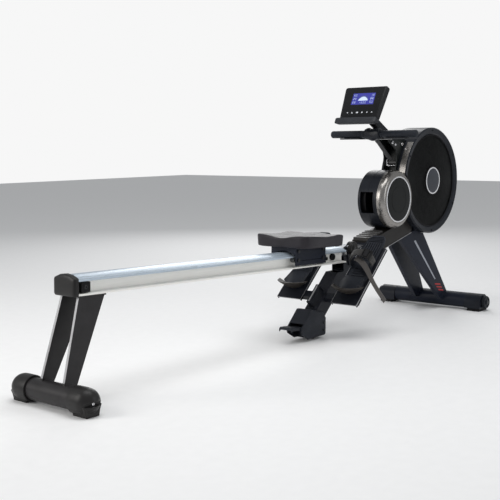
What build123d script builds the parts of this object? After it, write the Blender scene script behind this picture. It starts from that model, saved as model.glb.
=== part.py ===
from build123d import *
import os
from math import atan2, cos, degrees, hypot, radians, sin, sqrt, tan

# Folding indoor rowing machine with an air-and-magnet flywheel.
#
# Frame of the part: origin on the floor under the middle of the machine, +X towards the flywheel,
# +Y to the rower's left, +Z up.  All sizes are millimetres.
# Each function builds one named piece, or one group of like pieces, and returns a list of solids.

# ------------------------------------------------------------------ driving sizes
FIT = 0.05                 # radial running clearance of a shaft in its hole
GAP = 0.5                  # gap between neighbours that move past each other

# floor bars
BAR_R = 35.5               # radius of both floor tubes
BAR_WALL = 2.5
BAR_Z = 43.0               # height of both floor tube axes
FRONT_BAR_X = 1122.0
FRONT_BAR_HALF = 262.0     # half length of the front tube
REAR_BAR_HALF = 140.0
REAR_CAP_INNER = 100.0     # where the rear caps' sleeves begin
REAR_CAP_DOME = REAR_BAR_HALF + 5      # where their domes begin
FRONT_CAP_LENGTH = 80.0
FRONT_CAP_END = FRONT_BAR_HALF + 8     # distance of the cap's end face from the middle
PAD_HALF_X = 39.5          # half length of a floor pad
CAP_R = 42.0               # radius of the rear domed caps
REAR_PAD_HALF_X = 25.5
REAR_PAD_Y = (REAR_CAP_INNER + 11, REAR_CAP_DOME + 29)
FRONT_PAD_Y = (FRONT_CAP_END - 65.5, FRONT_CAP_END - 2.5)

# transport wheels
WHEEL_R = 29.0
WHEEL_WIDTH = 18.0
WHEEL_Z = 42.0
WHEEL_AXLE_R = 5.0

# main beam and legs
BEAM_SLOPE = 13.4          # degrees, rising to the front
BEAM_LOW = (631.0, 328.0)  # a point of the beam's lower face
BEAM_HEIGHT = 60.0
BEAM_HALF = 30.0
BEAM_WALL = 3.0
BEAM_REAR_X = 325.0
BEAM_FRONT_X = 850.0
COVER_WALL = 3.0           # moulded cover over the beam
COVER_HALF = 46.0
COVER_REAR_X = 500.0
COVER_FRONT_X = 842.0
STEP_COUNT = 5             # ribs moulded across the cover's rear end
STEP_LENGTH = 110.0
LEG_SLOPE = 43.0           # mid leg and footplates, degrees from the floor
LEG_FOOT = (135.0, 118.8)  # a point of the mid leg's upper rear face
LEG_DEPTH = 62.0
LEG_HALF = 30.0
LEG_WALL = 2.5
STAND_TOP = (749.0, 929.0)     # front stand, first and last X of a leg where it meets the beam
STAND_FOOT = (1069.0, 1149.0)
STAND_THICK = 20.0
STAND_TOP_Y = 33.0
STAND_FOOT_Y = 67.0

# rail
RAIL_FRONT = (317.0, 293.8)    # lower front corner of the rail
RAIL_SLOPE = 1.73              # degrees, rising to the rear
RAIL_LENGTH = 1424.0
RAIL_HALF = 47.6
RAIL_HEIGHT = 64.0
RAIL_CROWN_EDGE = 50.0         # height of the crown's outer edges
RAIL_LIP = 43.9                # height of the lips' underside
RAIL_WEB_HALF = RAIL_HALF / 2
RAIL_WEB_WALL = 3.0
RAIL_FLANGE = 6.0
RAIL_CAP_LENGTH = 18.0
STOP_SIZE = (35.0, 32.0)       # length and height of a rail stop
REAR_STOP_X = RAIL_LENGTH - 51         # distance of the rear stops from the rail's front
HOLE_X = 108.0                 # cross hole for the fold lock
HOLE_R = 5.5
RAIL_END_X = RAIL_FRONT[0] - RAIL_LENGTH
REAR_BAR_X = RAIL_END_X - 62
REAR_LEG_TOP = (RAIL_END_X + 7, RAIL_END_X + 109)
REAR_LEG_FOOT = (REAR_BAR_X - 20, REAR_BAR_X + 26)
REAR_LEG_THICK = 10.0
REAR_LEG_Y = (38.0, 55.0)      # leg centre plane at its top and at its foot

# fold hinge
FOLD_X = 366.0
FOLD_Z = 350.0
FOLD_PIN_R = 8.0
FOLD_EAR_R = 27.0
FOLD_EAR_THICK = 6.0
FOLD_KNOB_R = 28.0

# seat and its carriage, placed along the rail from the rail's front end
SEAT_REAR = 362.0              # distance of the carriage's rear end from the rail's front
CARRIAGE_LENGTH = 197.0
CARRIAGE_HALF = RAIL_HALF + 12.4
CARRIAGE_WALL = 3.0
CARRIAGE_LOW = 13.0            # height of the side walls' lower edge above the rail's underside
CARRIAGE_TOP = 83.0
PAD_LENGTH = 255.0
PAD_HALF = 130.0
PAD_THICK = 48.0
PAD_CORNER = 40.0
PAD_SHIFT = 7.0                # the pad sits this far ahead of the carriage's middle
ROLLER_GAP = 0.4
TOP_ROLLER_R = 10.5
TOP_ROLLER_Y = (RAIL_HALF - 14.6, RAIL_HALF - 1.6)
LOW_ROLLER_R = 9.8
LOW_ROLLER_Y = (RAIL_WEB_HALF + 2.7, RAIL_HALF - 2.1)
ROLLER_AXLE_R = 4.0
ROLLER_SPACING = 160.0

# flywheel housing and drum housing
FAN_R = 242.0
FAN_X = 727 + FAN_R            # the housing's rear edge and its lowest point stay where they are
FAN_Z = 367 + FAN_R
FAN_NEAR_Y, FAN_FAR_Y = -80.0, 50.0
FAN_SEAM_Y = -48.0
FAN_FACE_R = FAN_R - 31        # radius of the round opening that the mesh cover fills
SHELL = 3.0
HUB_R = 60.0
WHEEL_FAN_R = FAN_R - 72
AXLE_R = 8.0
DRUM_R = 127.0
DRUM_X = 795 - DRUM_R          # the drum housing's front edge and its lowest point stay where they are
DRUM_Z = 411 + DRUM_R
DRUM_NEAR_Y, DRUM_FAR_Y = -85.0, 44.0
DRUM_SEAM_Y = -50.0
DRUM_FACE_R = DRUM_R - 27
DRUM_RING = 5.0
DRUM_FACE_SCREW_R = DRUM_R - 13
DRUM_FACE_SCREW_RISE = 62.0    # height of the face screws above and below the drum's axis
WINDOW_Y = (-32.0, 33.0)
WINDOW_Z = (DRUM_Z - 56, DRUM_Z + 36)
BELT_SLOT_Z = (DRUM_Z - 50, DRUM_Z + 104)
PLATE_Y = (30.0, 35.0)         # steel side plates that carry the axles

# transmission
SPOOL_R = 28.0
SPOOL_HALF = 16.0
MAGNET_X = FAN_X + 41          # pivot of the magnet arm
MAGNET_Z = FAN_Z + WHEEL_FAN_R + 19
MAGNET_PIN_R = 4.0
DRIVE_PULLEY_R = DRUM_R - 43
FLY_PULLEY_R = 22.0
BELT_Y = (-66.0, -51.0)
BELT_THICK = 3.0
BELT_GAP = 0.3

# handle, its rest and the strap
HANDLE_X, HANDLE_Z = 593.0, 822.0
HANDLE_HALF = 215.5
HANDLE_R = 12.5
GRIP_R = 16.0
BLOCK_HALF = 38.0
GUIDE_X, GUIDE_Z = 754.0, 697.0
GUIDE_ROLLER_R = 7.0
STRAP_HALF = 12.0
STRAP_THICK = 2.0
REST_TOP = HANDLE_Z - GRIP_R - GAP

# console
CONSOLE_LOW = (469.0, 881.0)
CONSOLE_HIGH = (539.0, 1020.0)
CONSOLE_HALF_LOW, CONSOLE_HALF_HIGH = 93.0, 105.5
CONSOLE_THICK = 22.0
CONSOLE_PIVOT = (548.0, 905.0)
CONSOLE_PIN_R = 5.0
KEY_COUNT = 6
KEY_PITCH = 24.8
KEY_R = 6.0
KEY_Z = 36.0                   # height of the keys up the face
SCREEN_Y = (-56.0, 56.0)
SCREEN_Z = (74.0, 128.0)
LEDGE_HALF = CONSOLE_HALF_LOW + 7
LUG_Y = (22.0, 28.0)
LUG_OUTLINE = [(500, 893), (548, 893), (558, 899), (558, 911), (548, 917), (512, 917)]

# footplates and footrests, measured along the plates from their lower edge
PLATE_FOOT = (166.3, 148.4)    # lower edge of both footplates
FOOTPLATE_LENGTH = 303.0
FOOTPLATE_Y = (77.0, 198.0)
FOOTPLATE_FLANGE = 12.0
FOOT_CENTRE_Y = 137.5
SHOE_START, SHOE_END = 52.0, 362.0
SHOE_BASE = 7.0
HEEL_HEIGHT = 55.0
FOOT_STRAP_S = 205.0
FOOT_STRAP_WIDTH = 36.0
HEEL_HALF, TOE_HALF = 52.0, 46.0       # half widths of the sole
CLAMP_S = 150.0                # clamp stud and knob
SLOT_S = (90.0, 210.0)
FOOT_BAR_S = (20.0, 50.0)

# boot and pedal
BOOT_OUTLINE = [(188, 9), (191, 82), (170, 108), (92, 126), (20, 54), (24, 34), (66, 9)]
BOOT_WALL = 9.0
BOOT_SCREWS = ((172, 62), (172, 32))
POST_SCREWS = ((690, 785), (770, 777))
PEDAL_X, PEDAL_Z = 72.0, 50.0
PEDAL_PIN_R = 4.0
LEVEL_FOOT_X = 135.0
LEVEL_FOOT_R = 14.0

# ------------------------------------------------------------------ helpers


def box(x0, x1, y0, y1, z0, z1):
    """Block between two opposite corners."""
    return Pos((x0 + x1) / 2, (y0 + y1) / 2, (z0 + z1) / 2) * Box(x1 - x0, y1 - y0, z1 - z0)


def rod_y(x, z, r, y0, y1):
    """Round bar along Y."""
    return Pos(x, (y0 + y1) / 2, z) * Rot(90, 0, 0) * Cylinder(r, y1 - y0)


def tube_y(x, z, r_out, r_in, y0, y1):
    """Round tube along Y."""
    return rod_y(x, z, r_out, y0, y1) - rod_y(x, z, r_in, y0 - 1, y1 + 1)


def prism(points, y0, y1):
    """Outline in X and Z, pushed out along Y."""
    face = make_face(Polyline(*[(x, y0, z) for x, z in points], close=True))
    return extrude(face, amount=y1 - y0, dir=(0, 1, 0))


def turned(x, z, points):
    """Outline of (radius, y) points turned about the line along Y through (x, z)."""
    face = make_face(Polyline(*[(x + r, y, z) for r, y in points], close=True))
    return revolve(face, Axis((x, 0, z), (0, 1, 0)), 360)


def mirrored(solid):
    """The same piece on the other side of the machine."""
    return mirror(solid, Plane.XZ)


def both(solid):
    """A piece and its mirror image."""
    return [solid, mirrored(solid)]


def solids(shape):
    """All solids of a shape or list, largest first."""
    items = shape if isinstance(shape, (list, tuple)) else [shape]
    found = [s for item in items for s in item.solids()]
    return sorted(found, key=lambda s: -s.volume)


def minus(shape, *others):
    """Shape with every solid of the others cut away."""
    for other in others:
        for tool in solids(other):
            shape = shape - tool
    return shape


def beam_z(x):
    """Height of the beam's lower face."""
    return BEAM_LOW[1] + (x - BEAM_LOW[0]) * tan(radians(BEAM_SLOPE))


def beam_top_z(x):
    """Height of the beam's upper face."""
    return beam_z(x) + BEAM_HEIGHT / cos(radians(BEAM_SLOPE))


RAIL_PLACE = Location((RAIL_FRONT[0], 0, RAIL_FRONT[1]), (0, RAIL_SLOPE, 0))


def on_rail(shape):
    """Piece drawn with the rail's lower front edge at the origin and the rail along -X."""
    return RAIL_PLACE * shape


FOOT_PLACE = Location((PLATE_FOOT[0], 0, PLATE_FOOT[1]), (0, -LEG_SLOPE, 0))


def on_plate(shape):
    """Piece drawn with the footplates' lower edge at the origin and the plates along +X."""
    return FOOT_PLACE * shape


CONSOLE_TILT = degrees(atan2(CONSOLE_HIGH[0] - CONSOLE_LOW[0], CONSOLE_HIGH[1] - CONSOLE_LOW[1]))
CONSOLE_LENGTH = hypot(CONSOLE_HIGH[0] - CONSOLE_LOW[0], CONSOLE_HIGH[1] - CONSOLE_LOW[1])
CONSOLE_PLACE = Location((CONSOLE_LOW[0], 0, CONSOLE_LOW[1]), (0, CONSOLE_TILT, 0))


def on_console(shape):
    """Piece drawn with the console's face in the plane X = 0 and its lower edge at Z = 0."""
    return CONSOLE_PLACE * shape


def crown_height(y):
    """Height of the rail's crown above its underside."""
    return RAIL_HEIGHT - (RAIL_HEIGHT - RAIL_CROWN_EDGE) * (y / RAIL_HALF) ** 2


# ------------------------------------------------------------------ floor bars


def floor_tube(x, half):
    return tube_y(x, BAR_Z, BAR_R, BAR_R - BAR_WALL, -half, half)


def flat_ring(xs, z, y, thick):
    """Rectangle in a level plane: first and last X, and the plate's centre and thickness in Y."""
    y0, y1 = y - thick / 2, y + thick / 2
    corners = [(xs[0], y0, z[0]), (xs[1], y0, z[1]), (xs[1], y1, z[1]), (xs[0], y1, z[0])]
    return make_face(Polyline(*corners, close=True))


def front_stand():
    """Floor tube with the two flat legs welded on."""
    upper = flat_ring(STAND_TOP, (beam_z(STAND_TOP[0]), beam_z(STAND_TOP[1])), STAND_TOP_Y, STAND_THICK)
    lower = flat_ring(STAND_FOOT, (BAR_Z, BAR_Z), STAND_FOOT_Y, STAND_THICK)
    leg = loft([lower, upper], ruled=True)
    leg = minus(leg, [rod_y(FRONT_BAR_X, BAR_Z, BAR_R, -300, 300)], [fan_room()])
    stand = floor_tube(FRONT_BAR_X, FRONT_BAR_HALF)
    for item in both(solids(leg)[0]):
        stand = stand + item
    return solids(stand)[:1]


def front_end_caps():
    """Moulded end caps with their floor pads; each takes the tube in a socket."""
    inner = FRONT_CAP_END - FRONT_CAP_LENGTH
    round_r = BAR_R + 4.0
    body = rod_y(FRONT_BAR_X, BAR_Z - 3.5, round_r, inner, FRONT_CAP_END)
    skirt = prism([(FRONT_BAR_X - PAD_HALF_X - 1, 12), (FRONT_BAR_X + PAD_HALF_X + 1, 12),
                   (FRONT_BAR_X + round_r - 1, BAR_Z - 3.5), (FRONT_BAR_X - round_r + 1, BAR_Z - 3.5)],
                  inner + 4, FRONT_CAP_END)
    pad = box(FRONT_BAR_X - PAD_HALF_X, FRONT_BAR_X + PAD_HALF_X, *FRONT_PAD_Y, 0, 14)
    cap = body + skirt + pad
    cap = cap - rod_y(FRONT_BAR_X, BAR_Z, BAR_R, inner - 1, FRONT_BAR_HALF)
    cap = cap - rod_y(FRONT_BAR_X, WHEEL_Z, WHEEL_AXLE_R, FRONT_BAR_HALF - 1, FRONT_CAP_END + 1)
    return both(solids(cap)[0])


def wheel_axles():
    """Shoulder bolts that carry the transport wheels."""
    start, end = FRONT_BAR_HALF + 1, FRONT_CAP_END + WHEEL_WIDTH + 2.5
    pin = rod_y(FRONT_BAR_X, WHEEL_Z, WHEEL_AXLE_R, start, end)
    head = rod_y(FRONT_BAR_X, WHEEL_Z, 9.0, end - 1.5, end + 2)
    return both(pin + head)


def transport_wheel(side):
    """Hard wheel with a rounded tread."""
    y0 = FRONT_CAP_END + 0.5
    y1 = y0 + WHEEL_WIDTH
    wheel = turned(FRONT_BAR_X, WHEEL_Z, [
        (WHEEL_AXLE_R + FIT, y0), (WHEEL_R - 3, y0), (WHEEL_R, y0 + 4), (WHEEL_R, y1 - 4),
        (WHEEL_R - 3, y1), (WHEEL_R - 7, y1), (WHEEL_R - 8, y1 - 3), (12, y1 - 3),
        (11, y1), (WHEEL_AXLE_R + FIT, y1)])
    return solids(wheel if side > 0 else mirrored(wheel))


def rear_stand():
    """Rear floor tube with the two flat box legs and the head plate under the rail."""
    stand = floor_tube(REAR_BAR_X, REAR_BAR_HALF)
    head_rear = RAIL_FRONT[0] - REAR_LEG_TOP[0] + 2
    head_front = RAIL_FRONT[0] - REAR_LEG_TOP[1] - 4
    head = on_rail(box(-head_rear, -head_front, -RAIL_HALF + 2, RAIL_HALF - 2, -5, 0))
    top_z = RAIL_FRONT[1] + (RAIL_FRONT[0] - REAR_LEG_TOP[0]) * tan(radians(RAIL_SLOPE)) - 4

    drop = (REAR_LEG_TOP[1] - REAR_LEG_TOP[0]) * tan(radians(RAIL_SLOPE))
    upper = flat_ring(REAR_LEG_TOP, (top_z, top_z - drop), REAR_LEG_Y[0], REAR_LEG_THICK)
    lower = flat_ring(REAR_LEG_FOOT, (BAR_Z, BAR_Z), REAR_LEG_Y[1], REAR_LEG_THICK)
    leg = loft([lower, upper], ruled=True) - rod_y(REAR_BAR_X, BAR_Z, BAR_R, -300, 300)
    for item in both(solids(leg)[0]):
        stand = stand + item
    return solids(stand + head)[:1]


def rear_end_caps():
    """Domed rubber caps with floor pads."""
    inner, dome = REAR_CAP_INNER, REAR_CAP_DOME
    sleeve = rod_y(REAR_BAR_X, BAR_Z, CAP_R, inner, dome)
    ball = Pos(REAR_BAR_X, dome, BAR_Z) * Sphere(CAP_R)
    ball = ball & box(REAR_BAR_X - 60, REAR_BAR_X + 60, dome, dome + 60, 0, 120)
    pad = box(REAR_BAR_X - REAR_PAD_HALF_X, REAR_BAR_X + REAR_PAD_HALF_X, *REAR_PAD_Y, 0, 22)
    cap = sleeve + ball + pad
    cap = cap - rod_y(REAR_BAR_X, BAR_Z, BAR_R, inner - 1, REAR_BAR_HALF)
    slot = box(REAR_BAR_X - 60, REAR_BAR_X + 60, dome + CAP_R * 0.62, dome + 60, BAR_Z - 9, BAR_Z + 3)
    return both(solids(cap - slot)[0])


# ------------------------------------------------------------------ main frame


def beam_outline(drop, rise, x0, x1):
    """Outline along the beam, from 'drop' below its lower face to 'rise' above its upper one."""
    return [(x0, beam_z(x0) - drop), (x1, beam_z(x1) - drop),
            (x1, beam_top_z(x1) + rise), (x0, beam_top_z(x0) + rise)]


def fan_room():
    """Space of the flywheel housing."""
    return rod_y(FAN_X, FAN_Z, FAN_R + GAP, -200, 200)


def belt_room():
    """Space of the belt where it passes from the drum housing into the flywheel housing."""
    return box(DRUM_X + 72, FAN_X - 60, BELT_Y[0] - 3, BELT_Y[1] + 6, *BELT_SLOT_Z)


def drum_room():
    """Space of the drum housing."""
    return rod_y(DRUM_X, DRUM_Z, DRUM_R, DRUM_NEAR_Y - 5, DRUM_FAR_Y + 8)


def fold_ears():
    """Ear plates beside the beam that hold the fold pin."""
    y0, y1 = BEAM_HALF, BEAM_HALF + FOLD_EAR_THICK
    x0, x1 = FOLD_X - 6, FOLD_X + 70
    plate = prism([(x0, beam_z(x0) + 12), (x1, beam_z(x1) + 12), (x1, beam_top_z(x1) - 4),
                   (FOLD_X + FOLD_EAR_R * 0.8, FOLD_Z + FOLD_EAR_R * 0.6),
                   (FOLD_X - FOLD_EAR_R * 0.8, FOLD_Z - FOLD_EAR_R * 0.6)], y0, y1)
    plate = plate + rod_y(FOLD_X, FOLD_Z, FOLD_EAR_R, y0, y1)
    plate = plate - rod_y(FOLD_X, FOLD_Z, FOLD_PIN_R, y0 - 1, y1 + 1)
    return both(solids(plate)[0])


def main_beam():
    """Sloping box tube with the fold ears welded to its rear end."""
    outer = prism(beam_outline(0, 0, BEAM_REAR_X, BEAM_FRONT_X), -BEAM_HALF, BEAM_HALF)
    core = prism(beam_outline(-BEAM_WALL, -BEAM_WALL, BEAM_REAR_X - 1, BEAM_FRONT_X + 1),
                 -BEAM_HALF + BEAM_WALL, BEAM_HALF - BEAM_WALL)
    beam = minus(outer - core, [fan_room()], [drum_room()])
    for ear in fold_ears():
        beam = beam + ear
    return solids(beam)[:1]


def beam_cover():
    """Moulded cover over the beam, with ribbed steps across its rear end."""
    top = COVER_WALL + 6
    outer = prism(beam_outline(2, top, COVER_REAR_X, COVER_FRONT_X), -COVER_HALF, COVER_HALF)
    inner = prism(beam_outline(30, top - COVER_WALL, COVER_REAR_X + COVER_WALL, COVER_FRONT_X + 1),
                  -COVER_HALF + COVER_WALL, COVER_HALF - COVER_WALL)
    cover = outer - inner
    pitch = STEP_LENGTH / STEP_COUNT
    slope = tan(radians(BEAM_SLOPE))
    for i in range(STEP_COUNT):
        x0 = COVER_REAR_X + i * pitch
        z0 = beam_top_z(x0) + top - 1.5
        x1, z1 = x0 + pitch, z0 + pitch * slope
        step = prism([(x0, z0), (x1, z1), (x1, z1 + 9), (x0 + 3, z1 + 9)], -COVER_HALF + 5, COVER_HALF - 5)
        cover = cover + step
    cut = prism(beam_outline(1, 0, COVER_REAR_X - 1, COVER_FRONT_X + 1), -BEAM_HALF, BEAM_HALF)
    cover = minus(cover, [cut], [fan_room()], [drum_room()], upright_frame(), front_stand())
    return solids(cover)[:1]


def leg_outline(rise, depth, start, end):
    """Outline along the mid leg: rise above and depth below its rear face, from start to end."""
    c, s = cos(radians(LEG_SLOPE)), sin(radians(LEG_SLOPE))

    def at(along, up):
        return (LEG_FOOT[0] + along * c - up * s, LEG_FOOT[1] + along * s + up * c)

    return [at(start, -depth), at(end, -depth), at(end, rise), at(start, rise)]


def mid_leg():
    """Box tube that props the beam's rear end, with a bent grab loop on its rear face."""
    outer = prism(leg_outline(0, LEG_DEPTH, -58, 300), -LEG_HALF, LEG_HALF)
    core = prism(leg_outline(-LEG_WALL, LEG_DEPTH - LEG_WALL, -59, 301),
                 -LEG_HALF + LEG_WALL, LEG_HALF - LEG_WALL)
    keep = box(-200, 420, -200, 200, 14, beam_z(BEAM_REAR_X) + 26)
    tube = (outer - core) & keep
    loop = prism(leg_outline(36, 0, 8, 102), -9, 9) - prism(leg_outline(30, 1, 14, 96), -10, 10)
    spare = prism(beam_outline(0, 0, BEAM_REAR_X, BEAM_FRONT_X), -BEAM_HALF, BEAM_HALF)
    under = prism([(BEAM_REAR_X - 200, beam_z(BEAM_REAR_X)), (BEAM_REAR_X, beam_z(BEAM_REAR_X)),
                   (BEAM_REAR_X, 500), (BEAM_REAR_X - 200, 500)], -BEAM_HALF - 1, BEAM_HALF + 1)
    tube = minus(tube, [spare], [under], fold_ears())
    return solids(tube + solids(loop)[0])[:1]


def mid_leg_boot():
    """Plastic boot round the foot of the mid leg, open behind for the pedal."""
    boot = prism(BOOT_OUTLINE, -LEG_HALF - BOOT_WALL, LEG_HALF + BOOT_WALL)
    pocket = box(0, 88, -LEG_HALF - 3, LEG_HALF + 3, 0, 74)
    socket = prism(leg_outline(0, LEG_DEPTH, -58, 80), -LEG_HALF, LEG_HALF) & box(-50, 300, -60, 60, 14, 200)
    boot = minus(boot, [pocket], [socket], [rod_y(PEDAL_X, PEDAL_Z, PEDAL_PIN_R, -60, 60)])
    boot = boot - (Pos(LEVEL_FOOT_X, 0, 9) * Cylinder(8, 12))
    return solids(boot)[:1]


def release_pedal():
    """Foot pedal that frees the fold lock; it turns on a pin in the boot."""
    half = LEG_HALF + 2
    arm = prism([(PEDAL_X + 11, PEDAL_Z - 9), (PEDAL_X + 11, PEDAL_Z + 9), (PEDAL_X - 20, PEDAL_Z + 12),
                 (-26, 70), (-34, 62), (-26, 56), (PEDAL_X - 24, PEDAL_Z - 6)], -half, half)
    inner = half - 5
    hollow = prism([(PEDAL_X - 16, 0), (PEDAL_X - 16, PEDAL_Z + 2), (-18, 60), (-18, 0)], -inner, inner)
    arm = arm - hollow
    arm = arm - rod_y(PEDAL_X, PEDAL_Z, PEDAL_PIN_R + FIT, -60, 60)
    return solids(arm)[:1]


def mid_foot_pad():
    """Levelling foot under the mid leg: rubber puck on a short stud."""
    puck = Pos(LEVEL_FOOT_X, 0, 4.5) * Cylinder(LEVEL_FOOT_R, 9)
    stud = Pos(LEVEL_FOOT_X, 0, 10) * Cylinder(7.9, 6)
    return solids(puck + stud)


def upright_frame():
    """Steel side plates and web that carry the flywheel, the drum shaft and the handle rest."""
    outline = [
        (748, beam_z(748) + 8), (842, beam_z(842) + 8), (905, 470), (FAN_X + 26, FAN_Z - 24),
        (FAN_X + 26, FAN_Z + 24), (FAN_X - 24, FAN_Z + 28), (860, 640), (806, 690), (777, 728),
        (802, 786), (800, 799), (655, 799), (662, 790), (724, 751), (731, 720), (720, 645),
        (700, 600), (700, 480)]
    web = prism([(758, 640), (766, 640), (774, 728), (798, 786), (798, 799), (790, 799), (790, 788),
                 (766, 730)], -PLATE_Y[0], PLATE_Y[0])
    frame = web
    for y0, y1 in ((PLATE_Y[0], PLATE_Y[1]), (-PLATE_Y[1], -PLATE_Y[0])):
        frame = frame + (prism(outline, y0, y1) - rod_y(FAN_X, FAN_Z, AXLE_R, y0 - 1, y1 + 1))
    return solids(minus(frame, [drum_room()]))[:1]


def strap_guide():
    """Bright U-shaped bracket that keeps the strap on its roller."""
    half = PLATE_Y[0] - 3
    frame = box(GUIDE_X - 12, GUIDE_X - 4, -half, half, GUIDE_Z - 17, GUIDE_Z + 11)
    frame = frame - box(GUIDE_X - 13, GUIDE_X - 3, -half + 5, half - 5, GUIDE_Z - 11, GUIDE_Z + 12)
    ears = []
    for y0 in (-PLATE_Y[0], half):
        ear = box(GUIDE_X - 12, GUIDE_X + 6, y0, y0 + 3, GUIDE_Z - 17, GUIDE_Z + 11)
        ears.append(ear)
    frame = frame + ears[0] + ears[1]
    pin = rod_y(GUIDE_X, GUIDE_Z, 3.0, -half - 1, half + 1)
    return solids(frame + pin)[:1]


def guide_roller():
    """Roller that turns the strap down towards the drum."""
    half = PLATE_Y[0] - 3 - 5 - GAP
    return solids(tube_y(GUIDE_X, GUIDE_Z, GUIDE_ROLLER_R, 3.0 + FIT, -half, half))


def handle_rest():
    """Bent plate on top of the upright; its two arms hold the handle."""
    z0, z1 = REST_TOP - 6, REST_TOP
    plate = box(652, 800, -PLATE_Y[1], PLATE_Y[1], z0, z1)
    plate = plate + box(652, 690, -165, 165, z0, z1)
    for y0, y1 in ((-165, -62), (62, 165)):
        plate = plate + box(HANDLE_X - 14, 653, y0, y1, z0, z1)
    plate = plate + box(HANDLE_X + GRIP_R + 3, HANDLE_X + GRIP_R + 8, 62, 165, z0, HANDLE_Z + 6)
    plate = plate + box(HANDLE_X + GRIP_R + 3, HANDLE_X + GRIP_R + 8, -165, -62, z0, HANDLE_Z + 6)
    plate = plate - box(650, 740, -STRAP_HALF - 6, STRAP_HALF + 6, z0 - 1, z1 + 1)
    return solids(plate)[:1]


# ------------------------------------------------------------------ housings


def hub_cutters():
    """Everything that passes through the flywheel housing's rim."""
    return [upright_frame(), main_beam(), front_stand()]


def fan_shell(near):
    """Half of the flywheel housing: rim and face ring, open in the middle."""
    rim_end = FAN_SEAM_Y
    face, step = (FAN_NEAR_Y, 1) if near else (FAN_FAR_Y, -1)
    points = [
        (FAN_R, rim_end), (FAN_R, face + step * 6), (FAN_R - 6, face),
        (FAN_FACE_R + 6, face + step * 4), (FAN_FACE_R, face + step * 10),
        (FAN_FACE_R, face + step * (10 + SHELL)), (FAN_FACE_R + 8, face + step * (4 + SHELL)),
        (FAN_R - SHELL - 4, face + step * SHELL), (FAN_R - SHELL, face + step * 8), (FAN_R - SHELL, rim_end)]
    shell = turned(FAN_X, FAN_Z, points)
    shell = minus(shell, [drum_room()], [upright_room()], [belt_room()], *hub_cutters())
    return solids(shell)[:1]


def upright_room():
    """Space of the upright where it stands in the flywheel housing's rim."""
    return box(700, 812, -PLATE_Y[1] - GAP, PLATE_Y[1] + GAP, 600, 830)


def fan_covers():
    """Domed mesh covers over both faces, backed by a rim that sits in the shell."""
    covers = []
    for face, step in ((FAN_NEAR_Y, 1), (FAN_FAR_Y, -1)):
        r = FAN_FACE_R
        cover = turned(FAN_X, FAN_Z, [
            (HUB_R, face - step * 2), (150, face + step * 3), (r - 0.2, face + step * 9),
            (r - 0.2, face + step * 12), (150, face + step * 6), (HUB_R, face + step * 1)])
        covers.append(solids(minus(cover, [drum_room()]))[0])
    return covers


def drum_shell():
    """Two moulded halves round the drum, with the window in the rear wall."""
    seams = (DRUM_SEAM_Y, -3.0, DRUM_FAR_Y)
    halves = []
    for y0, y1 in zip(seams[:-1], seams[1:]):
        half = tube_y(DRUM_X, DRUM_Z, DRUM_R, DRUM_R - SHELL, y0, y1)
        half = half - box(DRUM_X - DRUM_R - 5, DRUM_X - 60, *WINDOW_Y, *WINDOW_Z)
        slot_z = (DRUM_Z + 62, DRUM_Z + DRUM_R + 5)
        half = half - box(DRUM_X + 44, DRUM_X + 92, -STRAP_HALF - 6, STRAP_HALF + 6, *slot_z)
        half = half - belt_room()
        halves.append(solids(half)[0])
    return halves


def drum_side_caps():
    """Rounded near cap and flat far cap; the near one is open where the belt leaves."""
    y0, y1 = DRUM_SEAM_Y, DRUM_NEAR_Y
    near = turned(DRUM_X, DRUM_Z, [
        (DRUM_R, y0), (DRUM_R, y0 - 8), (DRUM_R - 5, y0 - 20), (DRUM_R - 14, y1 + 5), (DRUM_FACE_R, y1),
        (DRUM_FACE_R, y1 + SHELL), (DRUM_R - 17, y1 + 8), (DRUM_R - 9, y0 - 19),
        (DRUM_R - SHELL - 1, y0 - 8), (DRUM_R - SHELL - 1, y0)])
    near = near - belt_room()
    screw_x = DRUM_X - sqrt(DRUM_FACE_SCREW_R ** 2 - DRUM_FACE_SCREW_RISE ** 2)
    for rise in (DRUM_FACE_SCREW_RISE, -DRUM_FACE_SCREW_RISE):
        near = near - rod_y(screw_x, DRUM_Z + rise, 4, y1 - 3, y1 + 27)
    far = turned(DRUM_X, DRUM_Z, [
        (AXLE_R, DRUM_FAR_Y), (DRUM_R, DRUM_FAR_Y), (DRUM_R - 4, DRUM_FAR_Y + 4), (AXLE_R, DRUM_FAR_Y + 4)])
    return [solids(near)[0], solids(far)[0]]


def side_discs():
    """Flat discs set in the drum's near face and over both flywheel hubs."""
    disc = rod_y(DRUM_X, DRUM_Z, DRUM_FACE_R - DRUM_RING, DRUM_NEAR_Y, DRUM_NEAR_Y + SHELL)
    near = rod_y(FAN_X, FAN_Z, HUB_R - 4, FAN_NEAR_Y - 3, FAN_NEAR_Y + 1)
    far = rod_y(FAN_X, FAN_Z, HUB_R - 4, FAN_FAR_Y - 1, FAN_FAR_Y + 3)
    return [solids(s)[0] for s in (disc, near, far)]


def trim_rings():
    """Bright rings round the three discs."""
    drum_inner = DRUM_FACE_R - DRUM_RING
    drum = tube_y(DRUM_X, DRUM_Z, DRUM_FACE_R, drum_inner, DRUM_NEAR_Y - 1.5, DRUM_NEAR_Y + SHELL)
    near = tube_y(FAN_X, FAN_Z, HUB_R, HUB_R - 4, FAN_NEAR_Y - 4, FAN_NEAR_Y + 1)
    far = tube_y(FAN_X, FAN_Z, HUB_R, HUB_R - 4, FAN_FAR_Y - 1, FAN_FAR_Y + 4)
    return [solids(s)[0] for s in (drum, near, far)]


# ------------------------------------------------------------------ transmission


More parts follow.
